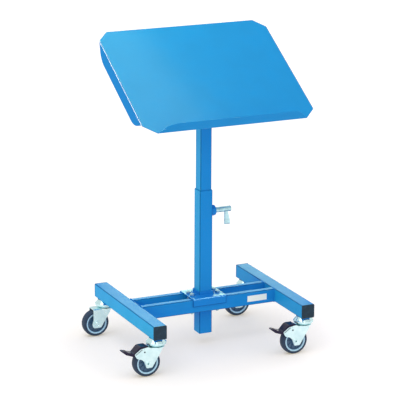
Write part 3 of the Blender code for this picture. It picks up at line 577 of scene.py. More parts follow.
def bead(points, normal, radii, closed, sides=8):
    """A round bead along points that lie square to a normal, joined to its start or closed at its ends."""
    count = len(points)
    angles = [2 * math.pi * i / sides for i in range(sides)]
    rings = []
    for k, (point, radius) in enumerate(zip(points, radii)):
        ahead = points[(k + 1) % count] if closed else points[min(k + 1, count - 1)]
        behind = points[k - 1] if closed else points[max(k - 1, 0)]
        across = (ahead - behind).normalized().cross(normal)
        rings.append([point + radius * (math.cos(a) * across + math.sin(a) * normal) for a in angles])
    return loft(rings, joined=closed)


def add(name, data):
    """A new object in the scene."""
    obj = bpy.data.objects.new(name, data)
    bpy.context.scene.collection.objects.link(obj)
    return obj


def modify(obj, name, kind, **settings):
    modifier = obj.modifiers.new(name, kind)
    for key, value in settings.items():
        setattr(modifier, key, value)


def shaped(obj):
    """The mesh that an object's modifiers give, in place of the object."""
    bpy.context.view_layer.update()
    mesh = bpy.data.meshes.new_from_object(obj.evaluated_get(bpy.context.evaluated_depsgraph_get()))
    bpy.data.objects.remove(obj)
    return mesh


def combine(operation, first, *others):
    """The mesh that a Boolean of closed meshes gives."""
    body, tools = add("body", first), [add("tool", mesh) for mesh in others]
    for tool in tools:
        modify(body, "Shape", "BOOLEAN", operation=operation, object=tool)
    mesh = shaped(body)
    for tool in tools:
        bpy.data.objects.remove(tool)
    if not mesh.polygons:
        raise RuntimeError(f"a Boolean {operation.lower()} left nothing")
    return mesh


def cut(mesh, *cutters):
    return combine("DIFFERENCE", mesh, *cutters)


def weld(mesh, *others):
    return combine("UNION", mesh, *others)


def soften(mesh, width, segments=2):
    """Rounds the edges that are clearly sharper than the steps of a round face."""
    flat, sharp = math.radians(0.5), math.radians(28.0)
    bm = bmesh.new()
    bm.from_mesh(mesh)
    bmesh.ops.remove_doubles(bm, verts=bm.verts, dist=1e-6)
    bmesh.ops.dissolve_limit(bm, angle_limit=flat, verts=bm.verts, edges=bm.edges)
    edges = [e for e in bm.edges if len(e.link_faces) == 2 and e.calc_face_angle() > sharp]
    bmesh.ops.bevel(bm, geom=edges, offset=width, offset_type="OFFSET", segments=segments, profile=0.5,
                    affect="EDGES", clamp_overlap=True)
    bm.to_mesh(mesh)
    bm.free()
    return mesh


def mark(mesh, name, value_at):
    """Stores a value from 0 to 1 at each of a mesh's points, for its finish to read."""
    values = [max(0.0, min(1.0, value_at(vertex.co))) for vertex in mesh.vertices]
    mesh.attributes.new(name, "FLOAT", "POINT").data.foreach_set("value", values)


def lit(group):
    """The pieces of one finish, body or kind, which a light may be kept to."""
    name = group + "_pieces"
    return bpy.data.collections.get(name) or bpy.data.collections.new(name)


def piece(name, mesh, look, body, *nodes, at=None):
    """A finished piece on the body that carries it, in place of the nodes that it stands for."""
    if mesh.users == 0:
        mesh.name = name
        mesh.materials.clear()
        mesh.materials.append(finish(look))
        mesh.shade_smooth()
        mesh.set_sharp_from_angle(angle=math.radians(42))
    obj = add(name, mesh)
    if at is not None:
        obj.matrix_world = at
    modify(obj, "Flat faces stay flat", "WEIGHTED_NORMAL", keep_sharp=True)
    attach(obj, body)
    if nodes:
        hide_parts(*nodes)
    for group in (look, body):
        lit(group).objects.link(obj)
    return obj


def joint_at(name):
    return Vector(JOINTS[name]["pos_m"])


Size = namedtuple("Size", "x y z")


class Place:
    """Where a node lies, in the stand's frame or in another: its corners, size and middle."""

    def __init__(self, node, matrix=None):
        self.low, self.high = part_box(node)
        if matrix is not None:
            inverse = matrix.inverted()
            points = [inverse @ v.co for v in frame["nodes"][node].data.vertices]
            self.low, self.high = (Vector(map(limit, zip(*points))) for limit in (min, max))
        self.size = Size(*(high - low for low, high in zip(self.low, self.high)))
        self.middle = (self.low + self.high) / 2

    def lay(self, way):
        """Lays a piece, made along +Z, along an axis about the node's middle."""
        return Matrix.Translation(self.middle) @ LAID[way]


# Pieces

def square_tube(node, axis, wall, steel):
    """A tube along an axis in a node's place, with broken end edges, and its rounded corners marked for a
    painted shade line.
    """
    place, along, edge, radius = Place(node), "XYZ".index(axis), steel.edge, steel.tube_radius
    i, j = (k for k in range(3) if k != along)
    start, end = place.low[along], place.high[along]
    at = place.middle.copy()
    at[along] = 0
    rings = []
    for inset, where in ((edge, start), (0, start + edge), (0, end - edge), (edge, end), (wall - edge, end),
                         (wall, end - edge), (wall, start + edge), (wall - edge, start)):
        outline = rectangle(place.size[i] - 2 * inset, place.size[j] - 2 * inset, max(radius - inset, edge))
        rings.append(lift(outline, where, axis, at))
    mesh = loft(rings, joined=True)

    def corner(point):
        """1 in the middle of an outer corner, 0 on a flat."""
        beyond = [abs(point[k] - place.middle[k]) - place.size[k] / 2 + radius for k in (i, j)]
        return 2 * min(beyond) / radius

    mark(mesh, "corner", corner)
    return mesh


class STAND_OT_tubes(Operator):
    """Make the legs, crossbeams, posts and socket sleeve."""
    bl_idname = "stand.tubes"
    bl_label = "Tubes"

    # Each tube's axis and body
    TUBES = {
        "left_leg_tube": ("Y", "base"),
        "right_leg_tube": ("Y", "base"),
        "front_crossbeam": ("X", "base"),
        "rear_crossbeam": ("X", "base"),
        "outer_post_tube": ("Z", "base"),
        "inner_post_tube": ("Z", "mast"),
    }

    def execute(self, context):
        steel = context.scene.stand_steelwork
        for node, (axis, body) in self.TUBES.items():
            mesh = square_tube(node, axis, steel.tube_wall, steel)
            tube = piece(node.replace("_tube", "") + "_painted", mesh, "powder_coat", body, node)
            lit("tube").objects.link(tube)
        mesh = square_tube("post_socket_sleeve", "Z", steel.sleeve_wall, steel)
        piece("socket_sleeve_painted", mesh, "powder_coat", "base", "post_socket_sleeve")
        return {"FINISHED"}


class STAND_OT_end_plugs(Operator):
    """Make the ribbed plastic plugs in the ends of the legs."""
    bl_idname = "stand.end_plugs"
    bl_label = "End plugs"

    RIBS = 7
    RIB_HEIGHT = 0.0005
    RIB_EDGE = 0.00025
    # Width and corner of a rib, as shares of the distance between ribs
    RIB_WIDTH = 0.55
    RIB_CORNER = 0.2
    FACE_EDGE = 0.0012

    def execute(self, context):
        steel, fit = context.scene.stand_steelwork, context.scene.stand_hardware.clearance
        for caster in CASTERS:
            node = caster + "_end_plug"
            plug, leg = Place(node), Place(caster.split("_")[1] + "_leg_tube")
            if caster in FRONT_CASTERS:
                way, seat, face, inner = -1, leg.low.y - fit, plug.low.y, plug.high.y
            else:
                way, seat, face, inner = 1, leg.high.y + fit, plug.high.y, plug.low.y
            mesh = self.plug(plug.size.x, steel, fit, abs(face - seat), abs(inner - seat), way)
            at = Matrix.Translation((plug.middle.x, seat, plug.middle.z))
            piece(node + "_moulded", mesh, "moulded_plastic", "base", node, at=at)
        return {"FINISHED"}

    def plug(self, width, steel, fit, thick, depth, way):
        wall, corner, edge = steel.tube_wall, steel.tube_radius, self.FACE_EDGE
        spigot = width - 2 * (wall + fit)
        flat = thick - self.RIB_HEIGHT
        rings = [(spigot - wall, -depth), (spigot, wall - depth), (spigot, 0), (width, 0)]
        rings += [(width - 2 * across, flat - down) for across, down in quarter(edge, 4)]
        mesh = loft([lift(rectangle(w, w, max(corner - (width - w) / 2, steel.edge)), way * y, "Y")
                     for w, y in rings])
        room = width - 4 * edge
        pitch = room / self.RIBS
        outline = rectangle(self.RIB_WIDTH * pitch, room, self.RIB_CORNER * pitch, 3)
        bars = []
        for k in range(self.RIBS):
            x = (k - (self.RIBS - 1) / 2) * pitch
            bars.append(prism(outline, way * (flat - edge), way * thick, "Y", (x, 0, 0)))
        return soften(weld(mesh, *bars), self.RIB_EDGE)


class STAND_OT_saddle(Operator):
    """Make the folded plate over the crossbeams and the plate under them."""
    bl_idname = "stand.saddle"
    bl_label = "Post saddle"

    HOLE_CORNER = 0.003
    # Width of the painted shadow line along a flange's cut edge, and how far it fades
    STRIP = 0.0014
    FADE = 0.0004

    def execute(self, context):
        steel, hardware = context.scene.stand_steelwork, context.scene.stand_hardware
        hole = Place("post_socket_sleeve").size.x / 2 + hardware.clearance
        bore = hardware.saddle_bolt / 2 + hardware.clearance
        sheet, bend = steel.saddle_sheet, steel.saddle_bend
        upper, lower = Place("post_saddle"), Place("saddle_lower_plate")
        half, top, foot = upper.size.y / 2, upper.high.z, upper.low.z
        inside = half - sheet
        side = [(inside, top - sheet, bend - sheet), (inside, foot, 0), (half, foot, 0), (half, top, bend)]
        section = rounded([(-y, z, radius) for y, z, radius in reversed(side)] + side)
        plate = prism(section, upper.low.x, upper.high.x, "X")
        mesh = cut(plate, *self.cutters(top - 2 * sheet, top + sheet, hole, bore))
        self.mark_edges(soften(mesh, steel.edge), upper, top - bend)
        mark(mesh, "bend", lambda point: abs(point.y) > half - bend and point.z > top - bend)
        piece("post_saddle_painted", mesh, "powder_coat", "base", "post_saddle")
        outline = rectangle(lower.size.x, lower.size.y, steel.tube_radius)
        plate = prism(outline, lower.low.z, lower.high.z, "Z", (PIVOT.x, 0, 0))
        mesh = cut(plate, *self.cutters(lower.low.z - sheet, lower.high.z + sheet, hole, bore))
        mesh = soften(mesh, steel.edge)
        piece("saddle_lower_plate_painted", mesh, "powder_coat", "base", "saddle_lower_plate")
        return {"FINISHED"}

    def mark_edges(self, mesh, place, below):
        """Scores thin strips along the flanges' lower and side edges and marks them for a painted shadow
        line.
        """
        low, high = place.low, place.high
        bm = bmesh.new()
        bm.from_mesh(mesh)
        for normal, level, way in ((Vector((0, 0, 1)), low.z, 1), (Vector((1, 0, 0)), low.x, 1),
                                   (Vector((1, 0, 0)), high.x, -1)):
            for reach in (self.STRIP, self.STRIP + self.FADE):
                bmesh.ops.bisect_plane(bm, geom=bm.verts[:] + bm.edges[:] + bm.faces[:],
                                       plane_co=normal * (level + way * reach), plane_no=normal)
        bm.to_mesh(mesh)
        bm.free()

        def edge_shadow(point):
            inside = min(point.z - low.z, point.x - low.x, high.x - point.x)
            return point.z < below and inside < self.STRIP + self.FADE / 2

        # The dark strip is a painted shadow line along the flange's edge
        mark(mesh, "corner", edge_shadow)

    def cutters(self, low, high, hole, bore):
        """The post's hole, and the four bolts'."""
        middles = [Place("saddle_bolt_" + spot).middle for spot in CASTERS]
        return [prism(rectangle(2 * hole, 2 * hole, self.HOLE_CORNER), low, high, "Z", (PIVOT.x, 0, 0)),
                *(prism(circle(bore, 24), low, high, "Z", (spot.x, spot.y, 0)) for spot in middles)]


def hex_body(across_flats, low, high, bore=0.0, both=False):
    """A hexagon along Z whose corners are turned off at the top, or at both ends as on a nut."""
    corner = across_flats / math.sqrt(3)
    slope = math.tan(math.radians(30))
    fall = (corner - across_flats / 2) * slope
    flat = 0.475 * across_flats
    steep = (corner - flat) * slope
    foot = [(flat, low), (corner + fall, low + steep + fall)] if both else [(corner + fall, low)]
    profile = [(0, low)] + foot + [(corner + fall, high - steep - fall), (flat, high), (0, high)]
    mesh = combine("INTERSECT", prism(circle(corner, 6), low, high), turned(profile, 48))
    if bore:
        mesh = cut(mesh, prism(circle(bore, 24), low - bore, high + bore))
    return mesh


def threaded(diameter, start, end, pitch):
    """A threaded shank along Z, with rounded crests and roots, turned off at its end."""
    depth, chamfer = 0.6 * pitch, (0.0006, 0.0004)
    crest, root = diameter / 2, diameter / 2 - depth
    # Places of one thread's root and crest along its pitch
    thread = ((root, 0.2), (crest, 0.5), (crest, 0.65), (root, 0.95))
    profile = [(0, start), (root, start)]
    z = start
    while z + pitch < end:
        profile += [(radius, z + place * pitch) for radius, place in thread]
        z += pitch
    profile += [(root, end - chamfer[1]), (root - chamfer[0], end), (0, end)]
    return turned(profile, 24)


class STAND_OT_fasteners(Operator):
    """Make the saddle's bolts and nuts, the tilt bolts and the casters' king bolts."""
    bl_idname = "stand.fasteners"
    bl_label = "Bolts and nuts"

    # Head height, nut height, width across flats and thread pitch, for each thread in millimetres
    SIZES = {8: (0.0053, 0.0065, 0.013, 0.00125), 10: (0.0064, 0.0085, 0.017, 0.0015)}
    # How much wider a nut's bore is than its thread's radius
    EASE = 0.0003

    def execute(self, context):
        hardware = context.scene.stand_hardware
        for spot in CASTERS:
            self.bolt("saddle_bolt_" + spot, hardware.saddle_bolt, "-Z", "base")
            self.nut("saddle_nut_" + spot, hardware.saddle_bolt, "+Z", "base")
            self.bolt(spot + "_king_bolt", hardware.king_bolt, "+Z", "base")
        self.bolt("pivot_bolt", hardware.pivot_bolt, "+X", "mast")
        self.nut("pivot_nut", hardware.pivot_bolt, "+X", "mast")
        self.bolt("tilt_lock_bolt", hardware.lock_bolt, "+X", "mast")
        return {"FINISHED"}

    def bolt(self, node, thread, way, body):
        """A bolt in a node's place. Its shank points along way, from its head."""
        head, _, across, pitch = self.SIZES[round(1000 * thread)]
        place, axis = Place(node), "XYZ".index(way[1])
        crown = hex_body(across, 0, head)
        crown.transform(LAID["-Z"])
        mesh = weld(crown, threaded(thread, -head / 2, place.size[axis] - head, pitch))
        place.middle[axis] = place.low[axis] + head if way[0] == "+" else place.high[axis] - head
        piece(node + "_plated", mesh, "dull_zinc", body, node, at=place.lay(way))

    def nut(self, node, thread, way, body):
        _, height, across, _ = self.SIZES[round(1000 * thread)]
        mesh = hex_body(across, -height / 2, height / 2, thread / 2 + self.EASE, both=True)
        piece(node + "_plated", mesh, "dull_zinc", body, node, at=Place(node).lay(way))


class STAND_OT_tray(Operator):
    """Fold the tray from one sheet: its front edge up, its other edges down."""
    bl_idname = "stand.tray"
    bl_label = "Tray"

    def execute(self, context):
        steel = context.scene.stand_steelwork
        place = Place("tray_panel", TRAY_FRAME)
        low, high = place.low, place.high
        sheet, c = steel.tray_sheet, steel.tray_corner
        top = high.z - steel.tray_lip + sheet
        front = low.y + sheet
        panel = [(low.x + c, front), (high.x - c, front), (high.x, low.y + c), (high.x, high.y - c),
                 (high.x - c, high.y), (low.x + c, high.y), (low.x, high.y - c), (low.x, low.y + c)]
        drop = low.z - top
        folds = {0: high.z - top, 2: drop, 4: drop, 6: drop}
        bm = bmesh.new()
        weight = bm.edges.layers.float.new("bevel_weight_edge")
        corners = [bm.verts.new((x, y, top)) for x, y in panel]
        bm.faces.new(corners)
        for i, rise in folds.items():
            first, last = corners[i], corners[i + 1]
            free = [bm.verts.new(p) for p in self.free_edge(first.co, last.co, rise, steel.flange_round)]
            bm.faces.new([last, first] + free)
            bend = steel.tray_bend if rise < 0 else steel.tray_bend - sheet
            bm.edges.get((first, last))[weight] = bend / steel.tray_bend
        mesh = self.folded(as_mesh(bm), steel)
        self.mark_folds(mesh, low, high, top, steel.tray_bend)
        mesh.transform(TRAY_FRAME)
        piece("tray_painted", mesh, "powder_coat", "tray", "tray_panel")
        return {"FINISHED"}

    def free_edge(self, first, last, rise, round_radius):
        """The free edge of a fold along the line first to last, which rises at 45 degrees at both ends."""
        along = (last - first).normalized()
        height, reach = abs(rise), (last - first).length
        radius = min(round_radius, height / math.tan(math.pi / 8))
        ends = [(0, 0, 0), (height, height, radius), (reach - height, height, radius), (reach, 0, 0)]
        up = Vector((0, 0, math.copysign(1, rise)))
        return [first + along * s + up * h for s, h in rounded(ends, 14)[1:-1]]

    def folded(self, mesh, steel):
        """The flat faces with their bends, sheet thickness and broken edges."""
        blank = add("blank", mesh)
        modify(blank, "Bends", "BEVEL", limit_method="WEIGHT", width=steel.tray_bend, segments=8)
        modify(blank, "Sheet", "SOLIDIFY", thickness=steel.tray_sheet, offset=-1, use_even_offset=True)
        modify(blank, "Edges", "BEVEL", width=steel.edge, segments=2, limit_method="ANGLE",
               angle_limit=math.radians(40))
        return shaped(blank)

    def mark_folds(self, mesh, low, high, top, bend):
        """Marks the folds that go down, most in their middle, for painted shade and more gloss, and the
        edges that they turn down, which are duller and painted a little darker as shade.
        """
        def fold(point):
            inside = bend - min(point.x - low.x, high.x - point.x, high.y - point.y)
            return 2 * min(inside, point.z - top + bend) / bend

        mark(mesh, "corner", fold)
        mark(mesh, "bend", fold)
        mark(mesh, "turned_down", lambda point: max(0.0, (top - point.z) / bend) ** 4)
        mark(mesh, "tray", lambda point: 1.0)


class STAND_OT_tilt_head(Operator):
    """Make the channel bracket under the tray, with the lock's arc slot in both ears."""
    bl_idname = "stand.tilt_head"
    bl_label = "Tilt head"

    EAR_ROOT = 0.012
    EAR_CORNER = 0.010
    EDGE = 0.0006
    STEPS = 16

    def execute(self, context):
        hardware = context.scene.stand_hardware
        place = Place("tilt_bracket", TRAY_FRAME)
        low, high = place.low, place.high
        top, web = high.z, high.z - hardware.web
        lock, fit = hardware.lock_bolt / 2, hardware.clearance
        rim = hardware.lock_radius + lock + hardware.ear_edge
        first, last = -hardware.ear_spread, hardware.tilt_max + hardware.ear_spread
        ear = [self.below(rim, last + (first - last) * k / self.STEPS) for k in range(self.STEPS + 1)]
        rear, front = ear[0].x - self.EAR_ROOT, ear[-1].x + self.EAR_ROOT
        outline = [(high.y, top, 0), (low.y, top, 0), (low.y, web, 0), (rear, web, self.EAR_CORNER),
                   *((p.x, p.y, 0) for p in ear), (front, web, self.EAR_CORNER), (high.y, web, 0)]
        channel = prism(rounded(outline), low.x, high.x, "X")
        inside, deep, bend = place.size.x / 2 - hardware.ear, place.size.y, hardware.ear / 2
        hollow = [(-inside, -deep, 0), (inside, -deep, 0), (inside, web, bend), (-inside, web, bend)]
        cutters = [prism(rounded(hollow), 2 * low.y, 2 * high.y, "Y"),
                   prism(circle(hardware.pivot_bolt / 2 + fit, 32), 2 * low.x, 2 * high.x, "X"),
                   prism(self.slot(hardware, lock + fit), 2 * low.x, 2 * high.x, "X")]
        mesh = soften(cut(channel, *cutters), self.EDGE, 3)
        piece("tilt_bracket_painted", mesh, "powder_coat", "tray", "tilt_bracket", at=TRAY_FRAME)
        return {"FINISHED"}

    def below(self, radius, tilt):
        """A point (y, z) of the bracket that lies straight below the tilt axis at this tilt."""
        return Vector((-radius * math.sin(tilt), -radius * math.cos(tilt)))

    def slot(self, hardware, half):
        """The arc slot, from a level tray to the steepest one."""
        steps, radius = self.STEPS, hardware.lock_radius
        tilts = [hardware.tilt_max * k / steps for k in range(steps + 1)]

        def end(tilt, way):
            centre, out = self.below(radius, tilt), self.below(half, tilt)
            return [centre + Matrix.Rotation(-math.pi * k / steps, 2) @ (way * out) for k in range(1, steps)]

        outer = [self.below(radius + half, t) for t in tilts]
        inner = [self.below(radius - half, t) for t in reversed(tilts)]
        return outer + end(hardware.tilt_max, 1) + inner + end(0.0, -1)


class STAND_OT_levers(Operator):
    """Make the clamp's weld nut, pad, stud and lever, and the tilt lock's lever."""
    bl_idname = "stand.levers"
    bl_label = "Clamp and lock levers"

    EDGE = 0.0005
    PAD_EDGE = 0.0006
    STUD_PITCH = 0.0015
    STUD_RADIUS = 0.005
    HUB_EDGE = 0.0012
    # Where a hub's groove begins as a share of its length, and the groove's depth and floor
    GROOVE = 0.24
    GROOVE_DEPTH = 0.0008
    GROOVE_FLOOR = 0.0012
    # How an arm's width grows with its fall, and the corners of its section as a share of their room
    FLARE = 0.8
    ARM_ROUND = 0.42
    # How far its rounded end narrows, as a share of its inset, and its least thickness there, as a share
    END_DRAW = 0.3
    END_THICK = 0.1

    def execute(self, context):
        hardware = context.scene.stand_hardware
        stud, pad, nut = map(Place, ("clamp_stud", "clamp_pad", "clamp_weld_nut"))
        bolt, bolt_radius = Place("tilt_lock_bolt"), hardware.lock_bolt / 2
        self.lever("clamp_lever", hardware.clamp_hub, stud, self.STUD_RADIUS, hardware, "clamp_screw")
        self.lever("tilt_lock_lever", hardware.lock_hub, bolt, bolt_radius, hardware, "tilt_lock")
        half, bore = nut.size.x / 2, stud.high.z - nut.middle.z + hardware.clearance
        mesh = soften(hex_body(min(nut.size.y, nut.size.z), -half, half, bore), self.EDGE)
        piece("clamp_weld_nut_painted", mesh, "powder_coat", "base", "clamp_weld_nut", at=nut.lay("+X"))
        radius, long, edge = pad.size.z / 2, pad.size.x, self.PAD_EDGE
        mesh = turned([(0, 0), (radius - edge, 0), (radius, edge), (radius, long), (0, long)], 32)
        piece("clamp_pad_turned", mesh, "turned_brass", "clamp_pad", "clamp_pad", at=self.from_left(pad))
        mesh = threaded(stud.size.z, 0, stud.size.x, self.STUD_PITCH)
        at = self.from_left(stud)
        piece("clamp_stud_threaded", mesh, "turned_zinc", "clamp_screw", "clamp_stud", at=at)
        return {"FINISHED"}

    def from_left(self, place):
        return Matrix.Translation((place.low.x, 0, place.middle.z)) @ LAID["+X"]

    def lever(self, node, hub, shank, shank_radius, hardware, body):
        """A cast lever: a turned hub along +X, and a paddle arm that hangs from the hub's far end."""
        place = Place(node)
        centre = Vector((place.low.x, place.middle.y, place.high.z - hub / 2))
        long, radius, fit = place.size.x, hub / 2, hardware.clearance
        edge = [(radius - across, down) for across, down in quarter(self.HUB_EDGE, 4)]
        near, deep = self.GROOVE * long, self.GROOVE_DEPTH
        far = near + deep + self.GROOVE_FLOOR
        groove = [(radius, near), (radius - deep, near + deep), (radius - deep, far), (radius, far + deep)]
        profile = [(0, 0), *reversed(edge), *groove, *((r, long - z) for r, z in edge), (0, long)]
        mesh = turned(profile, 40)
        mesh.transform(LAID["+X"])
        bore = fit + shank_radius
        hole = prism(circle(bore, 32), -bore, shank.high.x - place.low.x + fit, "X")
        mesh = cut(weld(mesh, self.arm(hardware, long, centre.z - place.low.z)), hole)
        mesh = soften(mesh, self.EDGE)
        piece(node + "_plated", mesh, "dull_zinc", body, node, at=Matrix.Translation(centre))

    def arm(self, hardware, long, drop):
        """The paddle: its left side hangs straight, its right side flares out, and its end is rounded."""
        left, thick, steps = long - hardware.lever_end, hardware.lever_arm, 6
        tip = thick / 2
        stations = [((drop - tip) * k / steps, 0.0) for k in range(steps)]
        stations += [(drop - down, across) for across, down in quarter(tip, steps)]
        sections = []
        for fall, inset in stations:
            flare = (hardware.lever_end - hardware.lever_root) * (fall / drop) ** self.FLARE
            width, depth = hardware.lever_root + flare, max(thick - 2 * inset, self.END_THICK * thick)
            corner = self.ARM_ROUND * min(depth, width)
            outline = rectangle(width - self.END_DRAW * inset, depth, corner, 5)
            sections.append(lift(outline, -fall, "Z", (left + width / 2, 0, 0)))
        return loft(sections)


class STAND_OT_swivel_heads(Operator):
    """Make the casters' swivel heads: two pressed cups rolled together round the ball race."""
    bl_idname = "stand.swivel_heads"
    bl_label = "Swivel heads"

    # The outer side from its foot up, as shares of a head's radius and height, with each corner's radius:
    # lower cup, rolled rim with a seam, upper cup
    SIDE = ((0.68, 0, 0.0008), (0.76, 0.06, 0.002), (0.97, 0.29, 0.001), (1, 0.31, 0.0006),
            (1, 0.39, 0.0004), (0.965, 0.40, 0), (0.965, 0.43, 0), (1, 0.44, 0.0004), (1, 0.52, 0.0008),
            (0.93, 0.60, 0.003), (0.76, 0.88, 0.003), (0.70, 1, 0.0008))

    def execute(self, context):
        bore = context.scene.stand_hardware.king_bolt / 2 + context.scene.stand_hardware.clearance
        for caster in CASTERS:
            node = caster + "_swivel_head"
            place = Place(node)
            radius, tall = place.size.x / 2, place.size.z
            side = [(r * radius, h * tall, soft) for r, h, soft in self.SIDE]
            mesh = turned(rounded([(bore, 0, 0), *side, (bore, tall, 0)], 4), 64, joined=True)
            foot = (place.middle.x, place.middle.y, place.low.z)
            piece(node + "_rolled", mesh, "turned_zinc", "base", node, at=Matrix.Translation(foot))
        return {"FINISHED"}


class STAND_OT_forks(Operator):
    """Make the pressed forks, with the axles and the brake pedals' pins."""
    bl_idname = "stand.forks"
    bl_label = "Forks and axles"

    # Radius of the boss round a front and a rear axle, how far it spreads at its foot, and its height
    FRONT_BOSS = 0.0078
    REAR_BOSS = 0.0105
    BOSS_SPREAD = 0.0010
    BOSS_HEIGHT = 0.0008
    # Radius of the hole in each wing, and its place before and above the axle
    HOLE = 0.0024
    HOLE_AT = (-0.0105, 0.0352)
    # Width of the slot along a wing's upper edge, its distance from that edge, and from the pedal's pin
    SLOT = 0.0021
    SLOT_INSET = 0.0036
    SLOT_END = 0.0045
    REAR_BEND = 0.0035
    EDGE = 0.0005
    # From a front fork's crown to the step behind it, and from there to the wings' full height
    STEP_GAP = 0.0008
    STEP_RISE = 0.006
    # From a boss to the rolled head of its axle, and that head's face and underside as shares of its radius
    HEAD_GAP = 0.0002
    HEAD_FACE = 0.88
    HEAD_UNDER = 0.96
    # Bore of an axle's end and its depth: shares of the shank of a front axle, which is a tube, and of the
    # head of a rear one, which is dished
    FRONT_BORE = (0.6, 3)
    REAR_BORE = (0.6, 0.25)
    # How much narrower the bore is at its bottom, as a share, and the edge round its mouth
    BORE_DRAFT = 0.9
    BORE_EDGE = 0.0006
    # Half the length of a cutter through both plates, how far one goes past the crown, and a distance
    # outside any fork
    THROUGH = 0.03
    PAST = 0.01
    FAR = 1

    def execute(self, context):
        casters, fit = context.scene.stand_casters, context.scene.stand_hardware.clearance
        king = context.scene.stand_hardware.king_bolt / 2 + fit
        for caster in CASTERS:
            self.fork(caster, casters, fit, king)
            self.axle(caster, casters)
        for caster in FRONT_CASTERS:
            node = caster + "_pedal_pin"
            place, edge = Place(node), self.EDGE
            half, radius = place.size.y / 2, place.size.z / 2
            end = [(0, -half), (radius - edge, -half), (radius, edge - half)]
            pin = turned(end + [(r, -h) for r, h in reversed(end)], 24, "Y")
            piece(node + "_plated", pin, "turned_zinc", caster + "_caster", node,
                  at=Matrix.Translation(place.middle))
        return {"FINISHED"}

    def top(self):
        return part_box("rear_left_fork")[1].z

    def step(self, casters, caster):
        """Where a front fork's crown ends, behind its swivel."""
        return joint_at(caster + "_swivel").x - casters.crown - self.STEP_GAP

    def outline(self, casters, caster, braked):
        """A fork's side in the stand's X and Z, from its nose at the top down round its axle."""
        axle, top, corner = joint_at(caster + "_roll"), self.top(), casters.corner
        toe, back = axle.z - casters.toe, axle.x - casters.heel
        nose = joint_at(caster + "_swivel").x + casters.nose
        below = top - casters.fork_sheet - casters.nose_height
        round_toe = corner / 2 if braked else corner
        front = [(nose, top, 0), (nose - casters.nose_taper, below, corner),
                 (axle.x + casters.heel, toe, round_toe)]
        if not braked:
            rear = axle.x - casters.rear_back
            return front + [(back, toe, corner), (back - casters.bulge, axle.z, corner),
                            (rear, axle.z + casters.bulge_height, corner), (rear, top, 0)]
        notch, wing, cheek = casters.notch, axle.x - casters.wing, casters.cheek
        slope, step = casters.wing_slope, self.step(casters, caster)
        return front + [
            (back + notch, toe, round_toe), (back, axle.z + notch, notch),
            (back - notch, axle.z + 2 * notch, notch), (wing + notch, axle.z + casters.wing_low, corner),
            (wing, axle.z + casters.wing_tip, cheek), (wing + slope, top, 2 * corner),
            (wing + 2 * slope, top + cheek, 2 * corner), (step - self.STEP_RISE, top + cheek, cheek),
            (step, top, 0)]

    def channel(self, y, half, top, bend):
        """A long bar with rounded upper edges, as wide as a fork is inside or outside."""
        left, right, far = y - half, y + half, self.FAR
        section = [(left, -far, 0), (right, -far, 0), (right, top, bend), (left, top, bend)]
        return prism(rounded(section), -far, far, "X")

    def fork(self, caster, casters, fit, king):
        braked = caster in FRONT_CASTERS
        axle, swivel, top = joint_at(caster + "_roll"), joint_at(caster + "_swivel"), self.top()
        under, inside, far = top - casters.fork_sheet, casters.fork_in, self.FAR
        outside, y = inside + casters.fork_sheet, axle.y
        mesh = prism(rounded(self.outline(casters, caster, braked), 8), y - outside, y + outside, "Y")
        cutters = [self.channel(y, inside, under, casters.fork_sheet)]
        if braked:
            step = self.step(casters, caster)
            behind = [Vector(p) for p in ((step - far, -far), (step, -far), (step, far), (step - far, far))]
            cutters.append(prism(behind, y - inside, y + inside, "Y"))
        mesh = cut(mesh, *cutters)
        if not braked:
            mesh = combine("INTERSECT", mesh, self.channel(y, outside, top, self.REAR_BEND))
        crown = turned([(0, under), (casters.crown, under), (casters.crown, top), (0, top)], 64, "Z",
                       (swivel.x, swivel.y, 0))
        boss = self.FRONT_BOSS if braked else self.REAR_BOSS
        foot, face = outside - casters.fork_sheet / 2, outside + self.BOSS_HEIGHT
        side = [(0, foot), (boss + self.BOSS_SPREAD, foot), (boss, face), (0, face)]
        bosses = [turned([(r, way * h) for r, h in side], 40, "Y", axle) for way in (-1, 1)]
        mesh = weld(mesh, crown, *bosses)
        holes = [prism(circle(king, 32), under - self.PAST, top + self.PAST, "Z", (swivel.x, swivel.y, 0))]
        across = [(circle(casters.axle / 2 + fit, 32), (axle.x, 0, axle.z))]
        if braked:
            pin = joint_at(caster + "_brake_press")
            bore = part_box(caster + "_pedal_pin")[1].z - pin.z + fit
            across += [(circle(bore, 24), (pin.x, 0, pin.z)),
                       (circle(self.HOLE, 20), (axle.x + self.HOLE_AT[0], 0, axle.z + self.HOLE_AT[1])),
                       (self.slot(casters, axle, pin), ORIGIN)]
        holes += [prism(outline, y - self.THROUGH, y + self.THROUGH, "Y", at) for outline, at in across]
        mesh = soften(cut(mesh, *holes), self.EDGE)
        piece(caster + "_fork_pressed", mesh, "pressed_zinc", caster + "_caster", caster + "_fork")

    def slot(self, casters, axle, pin):
        """The slot that follows a wing's upper edge, up to the pedal's pin."""
        wing, top, inset = axle.x - casters.wing, self.top(), self.SLOT_INSET
        line = rounded([(wing + inset, axle.z + casters.wing_tip - inset / 2, 0),
                        (wing + casters.wing_slope + inset / 2, top - inset, 2 * casters.corner),
                        (pin.x - self.SLOT_END, top - inset / 2, 0)])
        sides = {-1: [], 1: []}
        for k, point in enumerate(line):
            along = (line[min(k + 1, len(line) - 1)] - line[max(k - 1, 0)]).normalized()
            for way, side in sides.items():
                side.append(point + way * self.SLOT / 2 * Vector((-along.y, along.x)))
        return sides[-1] + sides[1][::-1]

